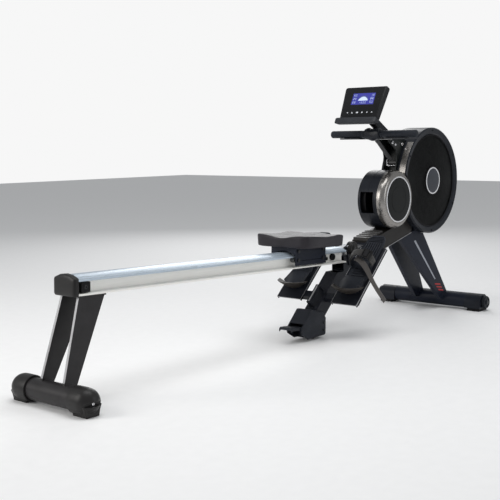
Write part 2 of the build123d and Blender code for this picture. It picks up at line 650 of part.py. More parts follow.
def flywheel_axle():
    """Fixed axle with its lock nuts, and the drum shaft's two bearing blocks."""
    axle = rod_y(FAN_X, FAN_Z, AXLE_R, FAN_NEAR_Y + 4, FAN_FAR_Y - 4)
    nuts = [tube_y(FAN_X, FAN_Z, 14, AXLE_R, PLATE_Y[1], PLATE_Y[1] + 8),
            tube_y(FAN_X, FAN_Z, 14, AXLE_R, -PLATE_Y[1] - 8, -PLATE_Y[1])]
    near = rod_y(DRUM_X, DRUM_Z, AXLE_R, DRUM_NEAR_Y + SHELL, DRUM_FAR_Y + 4)
    return solids([axle, near] + nuts)


def fan_flywheel():
    """Steel disc with curved fan blades, on a hub that turns on the axle, and its small pulley."""
    hub = tube_y(FAN_X, FAN_Z, 20, AXLE_R + FIT, -28, 28)
    disc = tube_y(FAN_X, FAN_Z, WHEEL_FAN_R, 19, -4, 4)
    wheel = hub + disc
    blades = 12
    for i in range(blades):
        blade = box(95, WHEEL_FAN_R - 2, -24, -3, -1.5, 1.5) + box(95, WHEEL_FAN_R - 2, 3, 24, -1.5, 1.5)
        wheel = wheel + Pos(FAN_X, 0, FAN_Z) * Rot(0, 360 / blades * i, 0) * blade
    pulley = tube_y(FAN_X, FAN_Z, FLY_PULLEY_R, AXLE_R + FIT, BELT_Y[0] - 2, -PLATE_Y[1] - 8.5)
    return [solids(wheel)[0], solids(pulley)[0]]


def drive_pulley():
    """Large belt pulley on the drum shaft."""
    rim = tube_y(DRUM_X, DRUM_Z, DRIVE_PULLEY_R, DRIVE_PULLEY_R - 8, BELT_Y[0], BELT_Y[1])
    web = tube_y(DRUM_X, DRUM_Z, DRIVE_PULLEY_R - 7, AXLE_R + FIT, BELT_Y[0] + 5, BELT_Y[1] - 5)
    hub = tube_y(DRUM_X, DRUM_Z, 20, AXLE_R + FIT, BELT_Y[0] - 2, BELT_Y[1] + 2)
    return solids(rim + web + hub)[:1]


def drive_belt():
    """Ribbed belt round both pulleys."""
    r1, r2 = DRIVE_PULLEY_R + BELT_GAP, FLY_PULLEY_R + BELT_GAP
    dx, dz = FAN_X - DRUM_X, FAN_Z - DRUM_Z
    d = hypot(dx, dz)
    line = atan2(dz, dx)
    lean = atan2(sqrt(d * d - (r1 - r2) ** 2), r1 - r2)

    def loop(extra):
        shape = rod_y(DRUM_X, DRUM_Z, r1 + extra, *BELT_Y) + rod_y(FAN_X, FAN_Z, r2 + extra, *BELT_Y)
        corners = []
        for sign, (x, z, r) in ((1, (DRUM_X, DRUM_Z, r1)), (1, (FAN_X, FAN_Z, r2)),
                                (-1, (FAN_X, FAN_Z, r2)), (-1, (DRUM_X, DRUM_Z, r1))):
            a = line + sign * lean
            corners.append((x + (r + extra) * cos(a), z + (r + extra) * sin(a)))
        return shape + prism(corners, *BELT_Y)

    inner = loop(0)
    return solids(minus(loop(BELT_THICK), [inner]))[:1]


def strap_spool():
    """Flanged spool with the strap wound on it; it turns on the drum shaft."""
    flanges = [tube_y(DRUM_X, DRUM_Z, SPOOL_R + 26, AXLE_R + FIT, y, y + 2)
               for y in (-SPOOL_HALF, SPOOL_HALF - 2)]
    core = tube_y(DRUM_X, DRUM_Z, SPOOL_R, AXLE_R + FIT, -SPOOL_HALF, SPOOL_HALF)
    wound = tube_y(DRUM_X, DRUM_Z, SPOOL_R + 20, SPOOL_R - 1, -STRAP_HALF, STRAP_HALF)
    return solids(core + flanges[0] + flanges[1] + wound)[:1]


def magnet_bracket():
    """Curved arm with brake magnets outside the flywheel's edge, turning on its pin."""
    arc = tube_y(FAN_X, FAN_Z, WHEEL_FAN_R + 16, WHEEL_FAN_R + 8, -14, 14)
    wedge = prism([(FAN_X, FAN_Z), (FAN_X + 161, FAN_Z + 291), (FAN_X + 10, FAN_Z + 291)], -20, 20)
    arm = solids(arc & wedge)[0]
    boss = rod_y(MAGNET_X, MAGNET_Z, 9, -14, 14)
    arm = arm + boss - rod_y(MAGNET_X, MAGNET_Z, MAGNET_PIN_R + FIT, -20, 20)
    return solids(arm)[:1]


def tension_motor():
    """Small geared motor that moves the magnets, with the arm's pivot pin and carrier."""
    z = MAGNET_Z
    y = PLATE_Y[0] - 12
    body = box(FAN_X - 66, FAN_X - 26, -14, 14, z - 2, z + 24)
    carrier = box(FAN_X - 70, MAGNET_X + 14, y, y + 4, z - 8, z + 26)
    neck = box(FAN_X - 60, FAN_X - 30, 13, y + 2, z + 2, z + 20)
    pin = rod_y(MAGNET_X, MAGNET_Z, MAGNET_PIN_R, -15, y + 2)
    head = box(FAN_X - 10, FAN_X + 20, y, PLATE_Y[0] + 6, z + 22, z + 49)
    return solids(carrier + body + neck + pin + head)[:1]


# ------------------------------------------------------------------ rail


def rail_section():
    """Extruded rail outline in Y and height, with a hollow web."""
    r = RAIL_WEB_HALF
    edge = RAIL_CROWN_EDGE
    crown = ThreePointArc((0, -RAIL_HALF, edge), (0, 0, RAIL_HEIGHT), (0, RAIL_HALF, edge))
    rest = Polyline(
        (0, RAIL_HALF, RAIL_CROWN_EDGE), (0, RAIL_HALF, RAIL_LIP), (0, RAIL_HALF - 3, RAIL_LIP),
        (0, RAIL_HALF - 6, RAIL_LIP + 1), (0, r, RAIL_LIP + 2), (0, r, RAIL_FLANGE + 1),
        (0, RAIL_HALF, RAIL_FLANGE), (0, RAIL_HALF, 0), (0, -RAIL_HALF, 0), (0, -RAIL_HALF, RAIL_FLANGE),
        (0, -r, RAIL_FLANGE + 1), (0, -r, RAIL_LIP + 2), (0, -RAIL_HALF + 6, RAIL_LIP + 1),
        (0, -RAIL_HALF + 3, RAIL_LIP), (0, -RAIL_HALF, RAIL_LIP), (0, -RAIL_HALF, RAIL_CROWN_EDGE))
    return make_face([crown, rest])


def rail_cavity(grow=0.0):
    """Hollow inside the rail's web."""
    half = RAIL_WEB_HALF - RAIL_WEB_WALL - grow
    return (half, RAIL_FLANGE - 1 + grow, RAIL_LIP + 8 - grow)


def rail():
    """Aluminium extrusion."""
    body = extrude(rail_section(), amount=-RAIL_LENGTH, dir=(1, 0, 0))
    half, low, high = rail_cavity()
    body = body - box(-RAIL_LENGTH - 1, 1, -half, half, low, high)
    body = body - rod_y(-HOLE_X, RAIL_HEIGHT / 2 - 6, HOLE_R, -60, 60)
    return solids(on_rail(body))[:1]


def rail_front_block():
    """Steel block fixed in the rail's front end; its nose turns on the fold pin."""
    half, low, high = rail_cavity(0.1)
    plug = box(-120, -1, -half, half, low, high)
    plug = plug - rod_y(-HOLE_X, RAIL_HEIGHT / 2 - 6, HOLE_R, -60, 60)
    plug = on_rail(plug)
    nose = prism([(RAIL_FRONT[0] - 8, 318), (RAIL_FRONT[0] + 6, 318), (FOLD_X - 8, FOLD_Z - 14),
                  (FOLD_X + 9, FOLD_Z - 11), (FOLD_X + 13, FOLD_Z + 5), (FOLD_X, FOLD_Z + 14),
                  (RAIL_FRONT[0] - 8, 342)], -half, half)
    block = plug + nose
    block = block - rod_y(FOLD_X, FOLD_Z, FOLD_PIN_R + FIT, -60, 60)
    return solids(block)[:1]


def fold_pin():
    """Fold pin with its round knobs."""
    y = BEAM_HALF + FOLD_EAR_THICK
    pin = rod_y(FOLD_X, FOLD_Z, FOLD_PIN_R, -y - 8, y + 8)
    for y0, y1 in ((y + 1, y + 20), (-y - 20, -y - 1)):
        pin = pin + rod_y(FOLD_X, FOLD_Z, FOLD_KNOB_R, y0, y1)
    return solids(pin)[:1]


def rail_end_cap():
    """Moulded cap over the rail's rear end."""
    margin = 3.0
    pts = [(0, -RAIL_HALF - margin, -margin), (0, RAIL_HALF + margin, -margin),
           (0, RAIL_HALF + margin, RAIL_CROWN_EDGE + 3)]
    arc = ThreePointArc((0, RAIL_HALF + margin, RAIL_CROWN_EDGE + 3), (0, 0, RAIL_HEIGHT + margin + 1),
                        (0, -RAIL_HALF - margin, RAIL_CROWN_EDGE + 3))
    base = Polyline(*pts)
    side = Line((0, -RAIL_HALF - margin, RAIL_CROWN_EDGE + 3), (0, -RAIL_HALF - margin, -margin))
    cap = extrude(make_face([base, arc, side]), amount=-RAIL_CAP_LENGTH, dir=(1, 0, 0))
    cap = Pos(-RAIL_LENGTH, 0, 0) * cap
    return solids(on_rail(cap))[:1]


def rail_stops():
    """Rubber stops bolted in the rail's grooves near both ends, with their bolts."""
    length, height = STOP_SIZE
    out = []
    mid = (RAIL_LIP + RAIL_FLANGE) / 2 + 0.5
    front = roller_places()[0] - LOW_ROLLER_R - GAP - length
    for start in (REAR_STOP_X, front):
        low, high = mid - height / 2, mid + height / 2
        block = box(-start - length, -start, RAIL_WEB_HALF, RAIL_HALF - 4, low, high)
        x = -start - length / 2
        block = block - rod_y(x, mid, 7, RAIL_HALF - 10, RAIL_HALF)
        bolt = rod_y(x, mid, 6.9, RAIL_HALF - 10, RAIL_HALF - 6)
        out += both(solids(on_rail(block))[0]) + both(solids(on_rail(bolt))[0])
    return out


# ------------------------------------------------------------------ seat


def axle_heights():
    """Heights of the upper and lower roller axles above the rail's underside."""
    upper = crown_height(TOP_ROLLER_Y[0]) + TOP_ROLLER_R + ROLLER_GAP
    lower = RAIL_LIP - LOW_ROLLER_R - ROLLER_GAP
    return upper, lower


def roller_places():
    """Distances of the two roller stations from the rail's front end."""
    middle = SEAT_REAR - CARRIAGE_LENGTH / 2
    return middle - ROLLER_SPACING / 2, middle + ROLLER_SPACING / 2


def seat_carriage():
    """Folded sheet carriage round the rail, with arched end walls."""
    x0, x1 = -SEAT_REAR, -SEAT_REAR + CARRIAGE_LENGTH
    outer = box(x0, x1, -CARRIAGE_HALF, CARRIAGE_HALF, CARRIAGE_LOW, CARRIAGE_TOP)
    inner = box(x0 - 1, x1 + 1, -CARRIAGE_HALF + CARRIAGE_WALL, CARRIAGE_HALF - CARRIAGE_WALL,
                CARRIAGE_LOW - 1, CARRIAGE_TOP - CARRIAGE_WALL)
    body = outer - inner
    arch = extrude(rail_section(), amount=400, dir=(1, 0, 0))
    arch = Pos(x0 - 50, 0, 0) * arch
    for a, b in ((x0, x0 + CARRIAGE_WALL), (x1 - CARRIAGE_WALL, x1)):
        wall = box(a, b, -CARRIAGE_HALF + 1, CARRIAGE_HALF - 1, RAIL_CROWN_EDGE, CARRIAGE_TOP - 1)
        wall = wall - Pos(0, 0, 5) * arch
        wall = wall - box(a - 1, b + 1, -RAIL_HALF - 5, RAIL_HALF + 5, 0, RAIL_CROWN_EDGE + 5)
        for piece in solids(wall):
            body = body + piece
    upper, lower = axle_heights()
    for x in roller_places():
        body = body - rod_y(-x, upper, ROLLER_AXLE_R, -80, 80)
        body = body - rod_y(-x, lower, ROLLER_AXLE_R, -80, 80)
    return solids(on_rail(body))[:1]


def seat_axles():
    """Axle bolts of the rollers: through bolts above the rail, stub bolts beside it."""
    upper, lower = axle_heights()
    out = []
    for x in roller_places():
        bolt = rod_y(-x, upper, ROLLER_AXLE_R, -CARRIAGE_HALF - 2, CARRIAGE_HALF + 2)
        for y0, y1 in ((CARRIAGE_HALF, CARRIAGE_HALF + 4), (-CARRIAGE_HALF - 4, -CARRIAGE_HALF)):
            bolt = bolt + rod_y(-x, upper, 7, y0, y1)
        out += solids(on_rail(bolt))
        stub = rod_y(-x, lower, ROLLER_AXLE_R, LOW_ROLLER_Y[0], CARRIAGE_HALF + 1)
        stub = stub + rod_y(-x, lower, 7, CARRIAGE_HALF, CARRIAGE_HALF + 4)
        out += both(solids(on_rail(stub))[0])
    return out


def rollers(upper_row, station):
    """A pair of nylon rollers on one axle line."""
    upper, lower = axle_heights()
    x = roller_places()[station]
    if upper_row:
        (y0, y1), r, z = TOP_ROLLER_Y, TOP_ROLLER_R, upper
    else:
        (y0, y1), r, z = LOW_ROLLER_Y, LOW_ROLLER_R, lower
    roller = tube_y(-x, z, r, ROLLER_AXLE_R + FIT, y0, y1)
    return both(solids(on_rail(roller))[0])


def seat_pad():
    """Plain body of the moulded seat: a rounded block."""
    mid = -SEAT_REAR + CARRIAGE_LENGTH / 2 + PAD_SHIFT
    plan = RectangleRounded(PAD_LENGTH, 2 * PAD_HALF, PAD_CORNER)
    pad = extrude(plan, amount=PAD_THICK)
    pad = Pos(mid, 0, CARRIAGE_TOP) * pad
    return solids(on_rail(pad))[:1]


# ------------------------------------------------------------------ handle


def handle_bar():
    return solids(tube_y(HANDLE_X, HANDLE_Z, HANDLE_R, HANDLE_R - 2, -HANDLE_HALF + 3, HANDLE_HALF - 3))


def handle_grips():
    """Foam grips, closed at the ends."""
    grip = rod_y(HANDLE_X, HANDLE_Z, GRIP_R, BLOCK_HALF + 0.5, HANDLE_HALF)
    grip = grip - rod_y(HANDLE_X, HANDLE_Z, HANDLE_R, BLOCK_HALF, HANDLE_HALF - 3)
    return both(solids(grip)[0])


def handle_block():
    """Moulded centre of the handle, with lobes above and below and the strap's loop."""
    block = rod_y(HANDLE_X, HANDLE_Z, 22, -BLOCK_HALF, BLOCK_HALF)
    block = block + box(HANDLE_X - 12, HANDLE_X + 12, -26, 26, HANDLE_Z - 30, HANDLE_Z + 30)
    block = block - rod_y(HANDLE_X, HANDLE_Z, HANDLE_R, -BLOCK_HALF - 1, BLOCK_HALF + 1)
    return solids(block)[:1]


STRAP_ANGLE = atan2(HANDLE_Z - GUIDE_Z, GUIDE_X - HANDLE_X)


def pull_strap():
    """Strap from the handle's block to the guide."""
    c, s = cos(STRAP_ANGLE), -sin(STRAP_ANGLE)
    start, end = 34.0, hypot(GUIDE_X - HANDLE_X, GUIDE_Z - HANDLE_Z) - 16
    half = STRAP_THICK / 2
    pts = []
    for along, up in ((start, -half), (end, -half), (end, half), (start, half)):
        pts.append((HANDLE_X + along * c - up * s, HANDLE_Z + along * s + up * c))
    return solids(prism(pts, -STRAP_HALF, STRAP_HALF))


# ------------------------------------------------------------------ console


def console_case():
    """Flat case with its display pane, a tablet ledge under its face and hinge lugs on its back."""
    pts = [(0, -CONSOLE_HALF_LOW, 0), (0, CONSOLE_HALF_LOW, 0),
           (0, CONSOLE_HALF_HIGH, CONSOLE_LENGTH), (0, -CONSOLE_HALF_HIGH, CONSOLE_LENGTH)]
    case = extrude(make_face(Polyline(*pts, close=True)), amount=CONSOLE_THICK, dir=(1, 0, 0))
    ledge = box(-14, 1, -LEDGE_HALF, LEDGE_HALF, -6, 0)
    lip = box(-17, -13, -LEDGE_HALF, LEDGE_HALF, -14, 5)
    case = case + ledge + lip
    case = case + box(0, CONSOLE_THICK, -CONSOLE_HALF_LOW, CONSOLE_HALF_LOW, -6, 1)
    case = case - box(-1, 3, *SCREEN_Y, *SCREEN_Z)
    for i in range(KEY_COUNT):
        y = (i - (KEY_COUNT - 1) / 2) * KEY_PITCH
        case = case - (Pos(2, y, KEY_Z) * Rot(0, 90, 0) * Cylinder(KEY_R + 0.3, 6))
    case = on_console(case)
    lugs = prism(LUG_OUTLINE, *LUG_Y)
    lugs = lugs - rod_y(CONSOLE_PIVOT[0], CONSOLE_PIVOT[1], CONSOLE_PIN_R + FIT, 0, 60)
    lug = solids(minus(lugs, [case]))[0]
    pane = on_console(box(0.4, 3, *SCREEN_Y, *SCREEN_Z))
    return solids(case + lug + mirrored(lug))[:1] + solids(pane)


def console_key(i):
    """One of the row of keys."""
    y = ((KEY_COUNT - 1) / 2 - i) * KEY_PITCH
    return solids(on_console(Pos(1.2, y, KEY_Z) * Rot(0, 90, 0) * Cylinder(KEY_R, 3.2)))


def console_arm():
    """Arm from the handle rest to the console, with the tilt pin."""
    z0 = REST_TOP
    arm = prism([(672, z0), (724, z0), (724, z0 + 10), (700, z0 + 24), (566, 905), (556, 917), (540, 917),
                 (538, 897), (640, z0 + 30), (672, z0 + 10)], -20, 20)
    arm = arm - box(530, 650, -14, 14, 700, 930)
    web = prism([(560, 897), (566, 905), (668, z0 + 41), (660, z0 + 30)], -15, 15)
    arm = arm + web
    arm = arm + rod_y(CONSOLE_PIVOT[0], CONSOLE_PIVOT[1], CONSOLE_PIN_R, -LUG_Y[1] - 1, LUG_Y[1] + 1)
    return solids(arm)[:1]


# ------------------------------------------------------------------ footrests


def foot_frame():
    """Flanged footplates, each on a cross tube welded to the mid leg's side."""
    y0, y1 = FOOTPLATE_Y
    plate = box(0, FOOTPLATE_LENGTH, y0, y1, -3, 0)
    for a, b in ((y0, y0 + 3), (y1 - 3, y1)):
        plate = plate + box(0, FOOTPLATE_LENGTH, a, b, -FOOTPLATE_FLANGE, 0)
    plate = plate - box(SLOT_S[0], SLOT_S[1], FOOT_CENTRE_Y - 4, FOOT_CENTRE_Y + 4, -5, 1)
    bar = box(*FOOT_BAR_S, LEG_HALF, y1 - 10, -3 - 25, -3)
    frame = on_plate(plate + bar)
    return both(solids(frame)[0])


def footrest(side):
    """Moulded footrest: sole with toe ribs, heel cup, strap lugs and the clamp stud below."""
    mid = FOOT_CENTRE_Y
    base = 0.3
    toe_half, heel_half = TOE_HALF, HEEL_HALF
    sole_pts = [(SHOE_START, mid - heel_half), (SHOE_START + 60, mid - heel_half),
                (SHOE_END - 40, mid - toe_half), (SHOE_END, mid - toe_half + 14),
                (SHOE_END, mid + toe_half - 14), (SHOE_END - 40, mid + toe_half),
                (SHOE_START + 60, mid + heel_half), (SHOE_START, mid + heel_half)]
    face = make_face(Polyline(*[(x, y, base) for x, y in sole_pts], close=True))
    shoe = extrude(face, amount=SHOE_BASE, dir=(0, 0, 1))
    for i in range(9):
        x = SHOE_START + 150 + i * 18
        top = base + SHOE_BASE
        shoe = shoe + box(x, x + 6, mid - toe_half + 8, mid + toe_half - 8, top - 1, top + 3)
    cup = extrude(face, amount=HEEL_HEIGHT, dir=(0, 0, 1)) & box(SHOE_START, SHOE_START + 70, 0, 300, 0, 200)
    inside = heel_half - 6
    hollow = box(SHOE_START + 6, SHOE_START + 90, mid - inside, mid + inside, base + SHOE_BASE, 200)
    ramp = Pos(SHOE_START + 84, mid, HEEL_HEIGHT + 16) * Rot(0, 40, 0) * Box(90, 200, 60)
    shoe = shoe + solids(cup - hollow - ramp)[0]
    for y in (mid - toe_half - 3.5, mid + toe_half - 2.5):
        shoe = shoe + box(FOOT_STRAP_S - 20, FOOT_STRAP_S + 20, y, y + 6, base, base + 30)
    stud = Pos(CLAMP_S, mid, -9) * Cylinder(3.6, 20)
    knob = Pos(CLAMP_S, mid, -20) * Cylinder(14, 12)
    shoe = shoe + stud + knob
    shoe = on_plate(shoe)
    return solids(shoe if side > 0 else mirrored(shoe))[:1]


def foot_strap(side):
    """Plain body of the webbing strap arched over the foot."""
    mid = FOOT_CENTRE_Y
    half = HEEL_HALF
    low, knee, top = 14.0, 50.0, 74.0
    pts_out = [(-half - 4, low), (-half, knee), (-half * 0.6, top),
               (half * 0.6, top), (half, knee), (half + 4, low)]
    pts_in = [(half + 1, low), (half - 3, knee - 1), (half * 0.6 - 2, top - 3), (-half * 0.6 + 2, top - 3),
              (-half + 3, knee - 1), (-half - 1, low)]
    face = make_face(Polyline(*[(0, mid + y, z) for y, z in pts_out + pts_in], close=True))
    strap = extrude(face, amount=FOOT_STRAP_WIDTH, dir=(1, 0, 0))
    strap = on_plate(Pos(FOOT_STRAP_S - FOOT_STRAP_WIDTH / 2, 0, 0) * strap)
    return solids(strap if side > 0 else mirrored(strap))[:1]


# ------------------------------------------------------------------ fasteners


def frame_bolts():
    """Cap screws of the upright and the boot."""
    out = []
    for x, z in POST_SCREWS:
        out += both(rod_y(x, z, 6, PLATE_Y[1], PLATE_Y[1] + 4))
    for x, z in BOOT_SCREWS:
        out += both(rod_y(x, z, 5, LEG_HALF + BOOT_WALL, LEG_HALF + BOOT_WALL + 3))
    return out


def pedal_pin():
    """Pin of the release pedal."""
    return solids(rod_y(PEDAL_X, PEDAL_Z, PEDAL_PIN_R, -LEG_HALF - 8, LEG_HALF + 8))


NODES = {
    "main_beam": main_beam,
    "beam_cover": beam_cover,
    "front_stand": front_stand,
    "front_end_caps": front_end_caps,
    "mid_leg": mid_leg,
    "mid_leg_boot": mid_leg_boot,
    "mid_foot_pad": mid_foot_pad,
    "upright_frame": upright_frame,
    "strap_guide": strap_guide,
    "handle_rest": handle_rest,
    "fan_shell_near": lambda: fan_shell(True),
    "fan_shell_far": lambda: fan_shell(False),
    "fan_covers": fan_covers,
    "drum_shell": drum_shell,
    "drum_side_caps": drum_side_caps,
    "side_discs": side_discs,
    "trim_rings": trim_rings,
    "flywheel_axle": flywheel_axle,
    "foot_frame": foot_frame,
    "fold_pin": fold_pin,
    "console_arm": console_arm,
    "drive_belt": drive_belt,
    "tension_motor": tension_motor,
    "frame_bolts": lambda: frame_bolts() + wheel_axles() + pedal_pin(),
    "rail": rail,
    "rail_end_cap": rail_end_cap,
    "rail_front_block": rail_front_block,
    "rail_stops": rail_stops,
    "rear_stand": rear_stand,
    "rear_end_caps": rear_end_caps,
    "seat_pad": seat_pad,
    "seat_carriage": seat_carriage,
    "seat_axles": seat_axles,
    "upper_rollers_front": lambda: rollers(True, 0),
    "upper_rollers_rear": lambda: rollers(True, 1),
    "lower_rollers_front": lambda: rollers(False, 0),
    "lower_rollers_rear": lambda: rollers(False, 1),
    "handle_bar": handle_bar,
    "handle_grips": handle_grips,
    "handle_block": handle_block,
    "pull_strap": pull_strap,
    "strap_spool": strap_spool,
    "guide_roller": guide_roller,
    "fan_flywheel": fan_flywheel,
    "drive_pulley": drive_pulley,
    "magnet_bracket": magnet_bracket,
    "console_case": console_case,
    "footrest_left": lambda: footrest(1),
    "footrest_right": lambda: footrest(-1),
    "foot_strap_left": lambda: foot_strap(1),
    "foot_strap_right": lambda: foot_strap(-1),
    "release_pedal": release_pedal,
    "transport_wheel_left": lambda: transport_wheel(1),
    "transport_wheel_right": lambda: transport_wheel(-1),
}
for number in range(KEY_COUNT):
    NODES[f"console_key_{number + 1}"] = lambda number=number: console_key(number)

os.makedirs("parts", exist_ok=True)
for name, make in NODES.items():
    export_step(Compound(children=make()), f"parts/{name}.step")
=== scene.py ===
"""Looks of a folding rowing machine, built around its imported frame.  Units are metres."""
import math

import bmesh
import bpy
from mathutils import Matrix, Vector


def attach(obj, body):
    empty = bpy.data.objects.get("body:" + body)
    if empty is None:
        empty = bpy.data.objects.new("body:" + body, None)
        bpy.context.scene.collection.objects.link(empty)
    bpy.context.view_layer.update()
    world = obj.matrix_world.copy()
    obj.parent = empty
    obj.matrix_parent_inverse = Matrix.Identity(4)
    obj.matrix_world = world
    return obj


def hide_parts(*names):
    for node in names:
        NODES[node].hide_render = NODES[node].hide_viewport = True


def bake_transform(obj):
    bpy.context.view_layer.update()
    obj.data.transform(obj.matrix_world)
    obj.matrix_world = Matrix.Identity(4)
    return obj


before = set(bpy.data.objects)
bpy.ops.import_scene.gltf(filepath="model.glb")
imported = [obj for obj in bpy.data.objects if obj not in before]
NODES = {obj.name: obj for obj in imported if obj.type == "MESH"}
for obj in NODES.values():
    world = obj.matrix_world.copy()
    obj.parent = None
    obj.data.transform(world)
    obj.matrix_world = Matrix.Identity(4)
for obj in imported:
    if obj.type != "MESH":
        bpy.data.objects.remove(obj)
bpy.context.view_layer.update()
SCENE = bpy.context.scene

# ------------------------------------------------------------------ camera

EYE = Vector((-2.966, -2.289, 0.797))
RIGHT = Vector((0.64273, -0.76603, -0.00992))
UP = Vector((0.09238, 0.06465, 0.99362))
BACK = Vector((-0.76050, -0.63955, 0.11232))


def add_camera():
    data = bpy.data.cameras.new("camera")
    data.sensor_width = 36.0
    data.lens = 69.3
    camera = bpy.data.objects.new("camera", data)
    SCENE.collection.objects.link(camera)
    turn = Matrix((RIGHT, UP, BACK)).transposed()
    camera.matrix_world = Matrix.Translation(EYE) @ turn.to_4x4()
    SCENE.camera = camera


add_camera()

# ------------------------------------------------------------------ places

SIDES = ((1, "left"), (-1, "right"))

RAIL_SLOPE = math.radians(1.73)
PLATE_SLOPE = math.radians(43.0)
BEAM_SLOPE = math.radians(13.4)
CONSOLE_TILT = math.atan2(0.070, 0.139)
FAN = (0.969, 0.609)
DRUM = (0.668, 0.538)


def on_rail(d, y, h):
    """d behind the rail's front end, h above its underside."""
    c, s = math.cos(RAIL_SLOPE), math.sin(RAIL_SLOPE)
    return Vector((0.317 - d * c + h * s, y, 0.2938 + d * s + h * c))


def on_plate(along, y, h):
    """along the footplates from their lower edge, h above them."""
    c, s = math.cos(PLATE_SLOPE), math.sin(PLATE_SLOPE)
    return Vector((0.1663 + along * c - h * s, y, 0.1484 + along * s + h * c))


def on_console(depth, y, up):
    """depth behind the console's face, up from the face's lower edge."""
    c, s = math.cos(CONSOLE_TILT), math.sin(CONSOLE_TILT)
    return Vector((0.469 + depth * c + up * s, y, 0.881 - depth * s + up * c))


def on_beam(x, y, rise):
    """rise above the beam's lower face, measured straight up."""
    return Vector((x, y, 0.328 + (x - 0.631) * math.tan(BEAM_SLOPE) + rise))


def plain(x, y, z):
    return Vector((x, y, z))


# ------------------------------------------------------------------ materials


def shader(name, slot, colour, rough, metal=0.0, grain=0.15, grain_size=0.0010, stretch=(1, 1, 1),
           mottle=0.14, mottle_size=0.04, spread=0.10, coat=0.0, sheen=0.0, cells=False, level=0.5):
    """Principled material with clouded colour, uneven roughness and a fine bump."""
    mat = bpy.data.materials.new(name)
    mat.use_nodes = True
    tree = mat.node_tree
    link = tree.links.new
    bsdf = tree.nodes["Principled BSDF"]
    coords = tree.nodes.new("ShaderNodeTexCoord")
    mapping = tree.nodes.new("ShaderNodeMapping")
    mapping.inputs["Scale"].default_value = stretch
    link(coords.outputs["Object"], mapping.inputs["Vector"])
    cloud = tree.nodes.new("ShaderNodeTexNoise")
    cloud.inputs["Scale"].default_value = 1.0 / mottle_size
    cloud.inputs["Detail"].default_value = 6.0
    link(mapping.outputs["Vector"], cloud.inputs["Vector"])
    ramp = tree.nodes.new("ShaderNodeValToRGB")
    ramp.color_ramp.elements[0].position = 0.32
    ramp.color_ramp.elements[1].position = 0.68
    ramp.color_ramp.elements[0].color = [c * (1 - mottle) for c in colour] + [1]
    ramp.color_ramp.elements[1].color = [min(1, c * (1 + mottle)) for c in colour] + [1]
    link(cloud.outputs["Fac"], ramp.inputs["Fac"])
    link(ramp.outputs["Color"], bsdf.inputs["Base Color"])
    if cells:
        fine = tree.nodes.new("ShaderNodeTexVoronoi")
        fine.inputs["Scale"].default_value = 1.0 / grain_size
        height = fine.outputs["Distance"]
    else:
        fine = tree.nodes.new("ShaderNodeTexNoise")
        fine.inputs["Scale"].default_value = 1.0 / grain_size
        fine.inputs["Detail"].default_value = 3.0
        height = fine.outputs["Fac"]
    link(mapping.outputs["Vector"], fine.inputs["Vector"])
    reach = tree.nodes.new("ShaderNodeMapRange")
    reach.inputs["To Min"].default_value = max(0.02, rough - spread / 2)
    reach.inputs["To Max"].default_value = min(1.0, rough + spread / 2)
    link(cloud.outputs["Fac"], reach.inputs["Value"])
    link(reach.outputs["Result"], bsdf.inputs["Roughness"])
    bump = tree.nodes.new("ShaderNodeBump")
    bump.inputs["Strength"].default_value = grain
    bump.inputs["Distance"].default_value = 0.0003
    link(height, bump.inputs["Height"])
    link(bump.outputs["Normal"], bsdf.inputs["Normal"])
    bsdf.inputs["Metallic"].default_value = metal
    bsdf.inputs["Coat Weight"].default_value = coat
    bsdf.inputs["Sheen Weight"].default_value = sheen
    bsdf.inputs["Specular IOR Level"].default_value = level
    mat["slot"] = slot
    return mat


def webbing(name, slot, colour, thread):
    """Woven strap: ribs along and across from two band textures on the strap's own UVs."""
    mat = shader(name, slot, colour, 0.82, grain=0.2, sheen=0.25, mottle=0.10, mottle_size=0.02)
    tree = mat.node_tree
    link = tree.links.new
    bsdf = tree.nodes["Principled BSDF"]
    uv = tree.nodes.new("ShaderNodeTexCoord")
    bands = []
    for axis, size in (("X", thread), ("Y", thread * 1.3)):
        wave = tree.nodes.new("ShaderNodeTexWave")
        wave.bands_direction = axis
        wave.inputs["Scale"].default_value = 0.314 / size
        wave.inputs["Distortion"].default_value = 0.6
        link(uv.outputs["UV"], wave.inputs["Vector"])
        bands.append(wave.outputs["Fac"])
    weave = tree.nodes.new("ShaderNodeMath")
    weave.operation = "MULTIPLY"
    link(bands[0], weave.inputs[0])
    link(bands[1], weave.inputs[1])
    bump = tree.nodes.new("ShaderNodeBump")
    bump.inputs["Strength"].default_value = 0.7
    bump.inputs["Distance"].default_value = 0.0004
    link(weave.outputs["Value"], bump.inputs["Height"])
    link(bump.outputs["Normal"], bsdf.inputs["Normal"])
    return mat


def glowing(name, slot, colour, glow, strength):
    mat = shader(name, slot, colour, 0.25, grain=0.02)
    bsdf = mat.node_tree.nodes["Principled BSDF"]
    bsdf.inputs["Emission Color"].default_value = list(glow) + [1]
    bsdf.inputs["Emission Strength"].default_value = strength
    return mat


